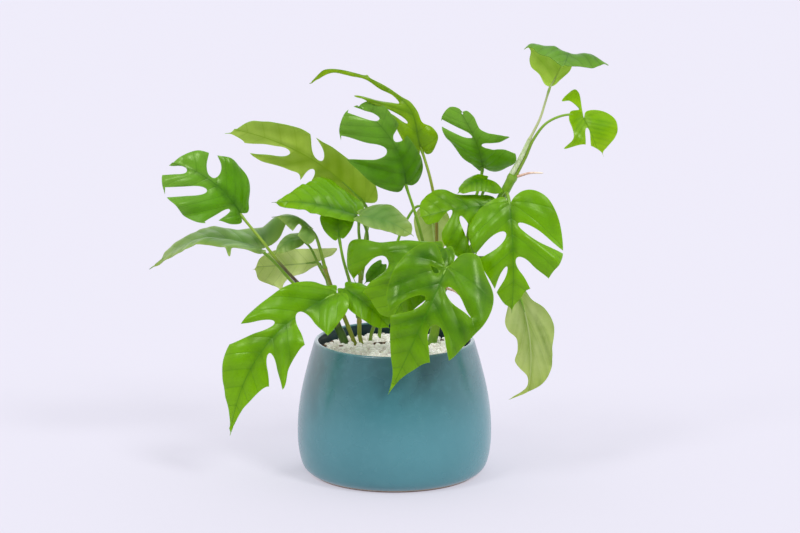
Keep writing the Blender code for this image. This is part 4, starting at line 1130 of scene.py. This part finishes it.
grow_leaf(
    "leaf_front_behind",
    Blade((40, -48, 199), (-1, -62, 144), (-0.1, -0.8, 0.6), arch=6, curl=0.2, seed=80, veins=6),
    right=[(-3, 5), (3, 14), (14, 30), (27, 47), (34, 65), (40, 71), (50, 66), (64, 52), (66, 40), (69, 29),
           (72, 20), (74, 10)],
    left=[(-4, -4), (0, -11), (12, -16), (30, -17), (50, -13), (66, -6)],
    cuts=[((34, 34), (66, 43), 14, 18)],
    stalk=[*STEM_FEET["leaf_front_behind"][:2], (-10, -2, 140), (12, -25, 172), (32, -40, 196)],
    rooted=True,
    tone=0.3)
grow_leaf(
    "leaf_front_left",
    Blade((-45, -42, 161), (-132, -55, 53), (-0.1, -0.85, 0.5), arch=14, bow=15, fold=0.12, curl=0.2,
          seed=87, veins=9),
    right=[(-3, 5), (2, 11), (7, 22), (18, 32), (37, 39), (58, 43), (80, 41), (96, 39), (109, 32), (124, 19),
           (133, 8)],
    left=[(-3, -6), (4, -15), (19, -18), (34, -19), (50, -9), (60, -9), (72, -12), (88, -20), (96, -6),
          (112, -2), (128, 0)],
    cuts=[((51, 22), (86, 47), 9, 15), ((33, 13), (43, -22), 13, 22), ((73, 9), (95, -18), 9, 14)],
    apex=(148, -3),
    stalk=[left_stem.seat(0.8, (-46, 2, 140)), (-44, -12, 146), (-43, -28, 152)],
    tone=0.8)
grow_leaf(
    "leaf_over_rim",
    Blade((-41, -30, 162), (-3, -50, 132), (0.1, -0.7, 0.7), arch=4, curl=0.5, seed=94, veins=5),
    right=[(-3, 4), (5, 9), (14, 12), (30, 12), (45, 7)],
    left=[(-3, -6), (4, -13), (18, -15), (36, -13), (48, -6)],
    stalk=[centre.seat(0.5, (-30, -2, 145)), (-35, -17, 156)],
    tone=0.9)
grow_leaf(
    "leaf_upper_bright",
    Blade((-29, 0, 216), (-98, -25, 233), (0.1, -0.6, 0.8), arch=4, fold=0.1, curl=0.3, droop=3, seed=101,
          veins=6, quilt=2.0),
    right=[(-5, 6), (-6, 16), (2, 24), (11, 26), (20, 33), (33, 31), (46, 23), (58, 12), (68, 5)],
    left=[(-3, -4), (8, -9), (22, -11), (40, -10), (55, -7), (68, -3)],
    stalk=[centre.seat(0.9, (-23, 6, 180)), (-22, 6, 195), (-25, 3, 208)],
    tone=0.9)
grow_leaf(
    "leaf_inner_hanging",
    Blade((-45, -6, 198), (-48, 8, 224), (0.0, -0.85, 0.5), arch=3, curl=0.4, seed=108, veins=6),
    right=[(-1, 3), (3, 8), (11, 13), (21, 14)],
    left=[(-2, -3), (2, -8), (10, -13), (21, -13)],
    stalk=[centre.seat(0.4, (-34, 8, 148)), (-37, 4, 160), (-42, -3, 180)],
    tone=1.0)
grow_leaf(
    "leaf_inner_curled",
    Blade((-69, 0, 206), (-100, -5, 215), (0.0, -0.3, 0.95), arch=5, curl=1.2, seed=115, veins=7),
    right=[(-5, 7), (0, 16), (12, 15), (24, 8)],
    left=[(-6, -6), (-2, -14), (10, -14), (22, -8)],
    cuts=[((8, -4), (14, -18), 4, 6)],
    stalk=[inner.top(), (-61, 4, 187), (-65, 2, 199)],
    looks=("grey", "pale", "green"),
    tone=0.4)
grow_leaf(
    "leaf_left_dark",
    Blade((-78, 15, 195), (-99, 5, 181), (0.0, -0.5, 0.8), arch=4, curl=0.5, seed=122, veins=4),
    right=[(-3, 4), (4, 8), (14, 7), (22, 3)],
    left=[(-3, -4), (3, -9), (13, -9), (21, -5)],
    stalk=[inner.seat(0.7, (-57, 14, 160)), (-62, 15, 170), (-70, 17, 186)],
    looks=("grey", "under", "green"),
    tone=0.1,
    slim=0.8)
grow_leaf(
    "leaf_left_pale",
    Blade((-62, 30, 170), (-118, 34, 165), (0.0, 0.9, -0.25), arch=5, curl=0.3, seed=129, veins=6),
    right=[(-2, 1), (6, 4), (14, 8), (26, 11), (32, 17), (32, 28), (36, 19), (43, 16), (52, 11)],
    left=[(-5, -3), (-12, -5), (-16, -10), (-8, -11), (6, -12), (20, -13), (37, -13), (50, -7)],
    apex=(57, 2),
    stalk=[left_stem.seat(0.85, (-55, 24, 142)), (-56, 28, 155)],
    looks=("grey", "pale_painted_light", "green"))
grow_leaf(
    "leaf_middle_grey",
    Blade((-29, -12, 218), (16, -20, 202), (0.1, -0.6, 0.8), arch=6, curl=0.4, seed=136, veins=5),
    right=[(-3, 4), (6, 8), (18, 10), (31, 9), (42, 5)],
    left=[(-3, -5), (3, -12), (18, -20), (35, -17), (44, -9)],
    stalk=[centre.top(), (-28, -2, 190), (-29, -9, 207)],
    looks=("grey", "pale", "green"),
    tone=0.3)
grow_leaf(
    "leaf_middle_pale",
    Blade((30, 45, 212), (35, 40, 168), (0.0, 0.9, 0.3), arch=3, curl=0.3, seed=143, veins=7),
    right=[(-4, 6), (4, 14), (16, 15), (30, 10)],
    left=[(-4, -6), (4, -14), (16, -15), (30, -11)],
    stalk=[*STEM_FEET["leaf_middle_pale"][:2], (-8, 42, 140), (0, 49, 175), (9, 53, 199), (19, 52, 213)],
    rooted=True,
    looks=("grey", "pale", "green"))
grow_leaf(
    "leaf_inner_small",
    Blade((-10, -10, 177), (-25, -16, 161), (0.0, -0.8, 0.5), curl=0.5, seed=150, veins=5),
    right=[(-2, 3), (6, 6), (15, 5)],
    left=[(-2, -3), (6, -7), (15, -5)],
    stalk=[centre.seat(0.7, (-18, 4, 158)), (-11, -1, 169)],
    looks=("deep", "under", "green"),
    slim=0.8)
grow_leaf(
    "leaf_crown_recurved",
    PinnedBlade(58, [
        ((0, 0), (125, 0, 320)), ((10, 0), (130, 4, 328)), ((19, 0), (134, 6, 336)), ((28, 0), (139, 6, 344)),
        ((34, 0), (141, 3, 349)), ((46, 0), (139, -8, 346)), ((58, 0), (136, -18, 341)),
        ((8, 13), (118, 4, 330)), ((18, 23), (111, 6, 336)), ((28, 30), (109, 6, 344)), ((35, 32), (110, 2, 351)),
        ((37, 14), (129, 2, 355)), ((38, 34), (108, 0, 356)), ((42, 38), (104, -8, 355)),
        ((50, 26), (118, -12, 351)), ((54, 14), (128, -14, 346)),
        ((8, -5), (134, 5, 326)), ((17, -9), (142, 8, 333)), ((24, -9), (144, 8, 339)), ((31, -19), (156, 4, 343)),
        ((36, -17), (157, 0, 348)), ((42, -34), (173, -8, 343)), ((50, -22), (160, -16, 340)),
        ((54, -9), (147, -17, 342))], seed=157),
    right=[(2, 5), (8, 13), (18, 23), (28, 30), (35, 32), (42, 38), (46, 33), (50, 26), (54, 14)],
    left=[(3, -3), (8, -5), (17, -9), (24, -10), (31, -19), (42, -34), (46, -30), (50, -22), (54, -9)],
    stalk=[sheath.top(), (118, -4, 296), (122, -1, 308)],
    looks=("deep", "lit", "cream"),
    tone=0.15,
    slim=0.75)
grow_leaf(
    "leaf_crown_drooping",
    Blade((153, -5, 297), (165, -14, 269), (0.0, -0.8, 0.5), arch=4, fold=0.2, seed=164, veins=7),
    right=[(-7, -2), (-20, -5), (-24, -3), (-23, 3), (-19, 10), (-17, 4), (-8, 0), (-9, 7), (-4, 11), (5, 13),
           (14, 16), (19, 27), (21, 10), (25, 3)],
    left=[(-4, -4), (-2, -12), (4, -19), (13, -22), (23, -19), (29, -10)],
    cuts=[((9, 1), (27, 7), 4, 5)],
    apex=(36, -3),
    stalk=[stem_top + BESIDE * 2.0, (106.6, -6.5, 265), (112.6, -6.5, 279), (124, -5, 293), (142, -3, 299)],
    looks=("lime", "under", "green"),
    tone=0.35,
    slim=0.85)

# The room is a plain pale sweep with soft light from all round, stronger from behind, and two broad lamps in front,
# one at each side. The floor glows a little, so that it stays as pale as the air behind. The camera looks down a
# little at the pot, from as far as a long lens stands.

FLOOR_HALF = 14.0
GLOW_FRONT = 0.28
GLOW_BEHIND = 1.7
LAMPS = [("left_lamp", -42, 46, 1.0, (1.0, 0.99, 0.97)), ("right_lamp", 40, 42, 1.5, (1.0, 0.99, 0.98))]
LAMP_SPREAD = 16
SENSOR_WIDTH = 36.0
VIEW_DISTANCE = 2500.0
VIEW_PITCH = 11.8
VIEW_TARGET = (4.6, 0.0, 172.7)
FOCAL_PIXELS = 3052.6
PHOTO_WIDTH = 800


def soft_sun(name, azimuth, elevation, power, colour):
    """A broad distant lamp; azimuth 0 shines from the front and 90 from the right."""
    light = bpy.data.lights.new(name, "SUN")
    light.angle = math.radians(LAMP_SPREAD)
    light.energy = power
    light.color = colour
    lamp = bpy.data.objects.new(name, light)
    turn, rise = math.radians(azimuth), math.radians(elevation)
    towards = Vector((math.sin(turn) * math.cos(rise), -math.cos(turn) * math.cos(rise), math.sin(rise)))
    lamp.rotation_euler = towards.to_track_quat("Z", "Y").to_euler()
    bpy.context.scene.collection.objects.link(lamp)


floor_mesh = bpy.data.meshes.new("floor")
floor_corners = [(x * FLOOR_HALF, y * FLOOR_HALF, 0) for x, y in ((-1, -1), (1, -1), (1, 1), (-1, 1))]
floor_mesh.from_pydata(floor_corners, [], [(0, 1, 2, 3)])
floor = bpy.data.objects.new("floor", floor_mesh)
bpy.context.scene.collection.objects.link(floor)
pale = Finish("pale_floor")
pale.set(Base_Color=(0.30, 0.295, 0.325), Roughness=0.9, Emission_Color=(0.905, 0.885, 1.0), Emission_Strength=0.465)
pale.shader.inputs["Specular IOR Level"].default_value = 0.0
floor_mesh.materials.append(pale.material)

world = bpy.data.worlds.new("studio")
world.use_nodes = True
sky = world.node_tree.nodes["Background"]
sky.inputs["Color"].default_value = (0.94, 0.93, 1.0, 1.0)
way = world.node_tree.nodes.new("ShaderNodeTexCoord").outputs["Generated"]
depth = world.node_tree.nodes.new("ShaderNodeSeparateXYZ")
fall = world.node_tree.nodes.new("ShaderNodeMapRange")
fall.inputs["From Min"].default_value = -1.0
fall.inputs["To Min"].default_value = GLOW_FRONT
fall.inputs["To Max"].default_value = GLOW_BEHIND
world.node_tree.links.new(way, depth.inputs[0])
world.node_tree.links.new(depth.outputs[1], fall.inputs["Value"])
world.node_tree.links.new(fall.outputs[0], sky.inputs["Strength"])
bpy.context.scene.world = world
for lamp in LAMPS:
    soft_sun(*lamp)

pitch = math.radians(VIEW_PITCH)
camera_data = bpy.data.cameras.new("camera")
camera_data.sensor_width = SENSOR_WIDTH
camera_data.lens = FOCAL_PIXELS / PHOTO_WIDTH * SENSOR_WIDTH
camera_data.clip_end = 60.0
camera = bpy.data.objects.new("camera", camera_data)
heading = Vector((0.0, math.cos(pitch), -math.sin(pitch)))
camera.location = (Vector(VIEW_TARGET) - heading * VIEW_DISTANCE) * MM
camera.rotation_euler = (math.pi / 2 - pitch, 0.0, 0.0)
bpy.context.scene.collection.objects.link(camera)
bpy.context.scene.camera = camera
bpy.context.scene.view_settings.view_transform = "Standard"
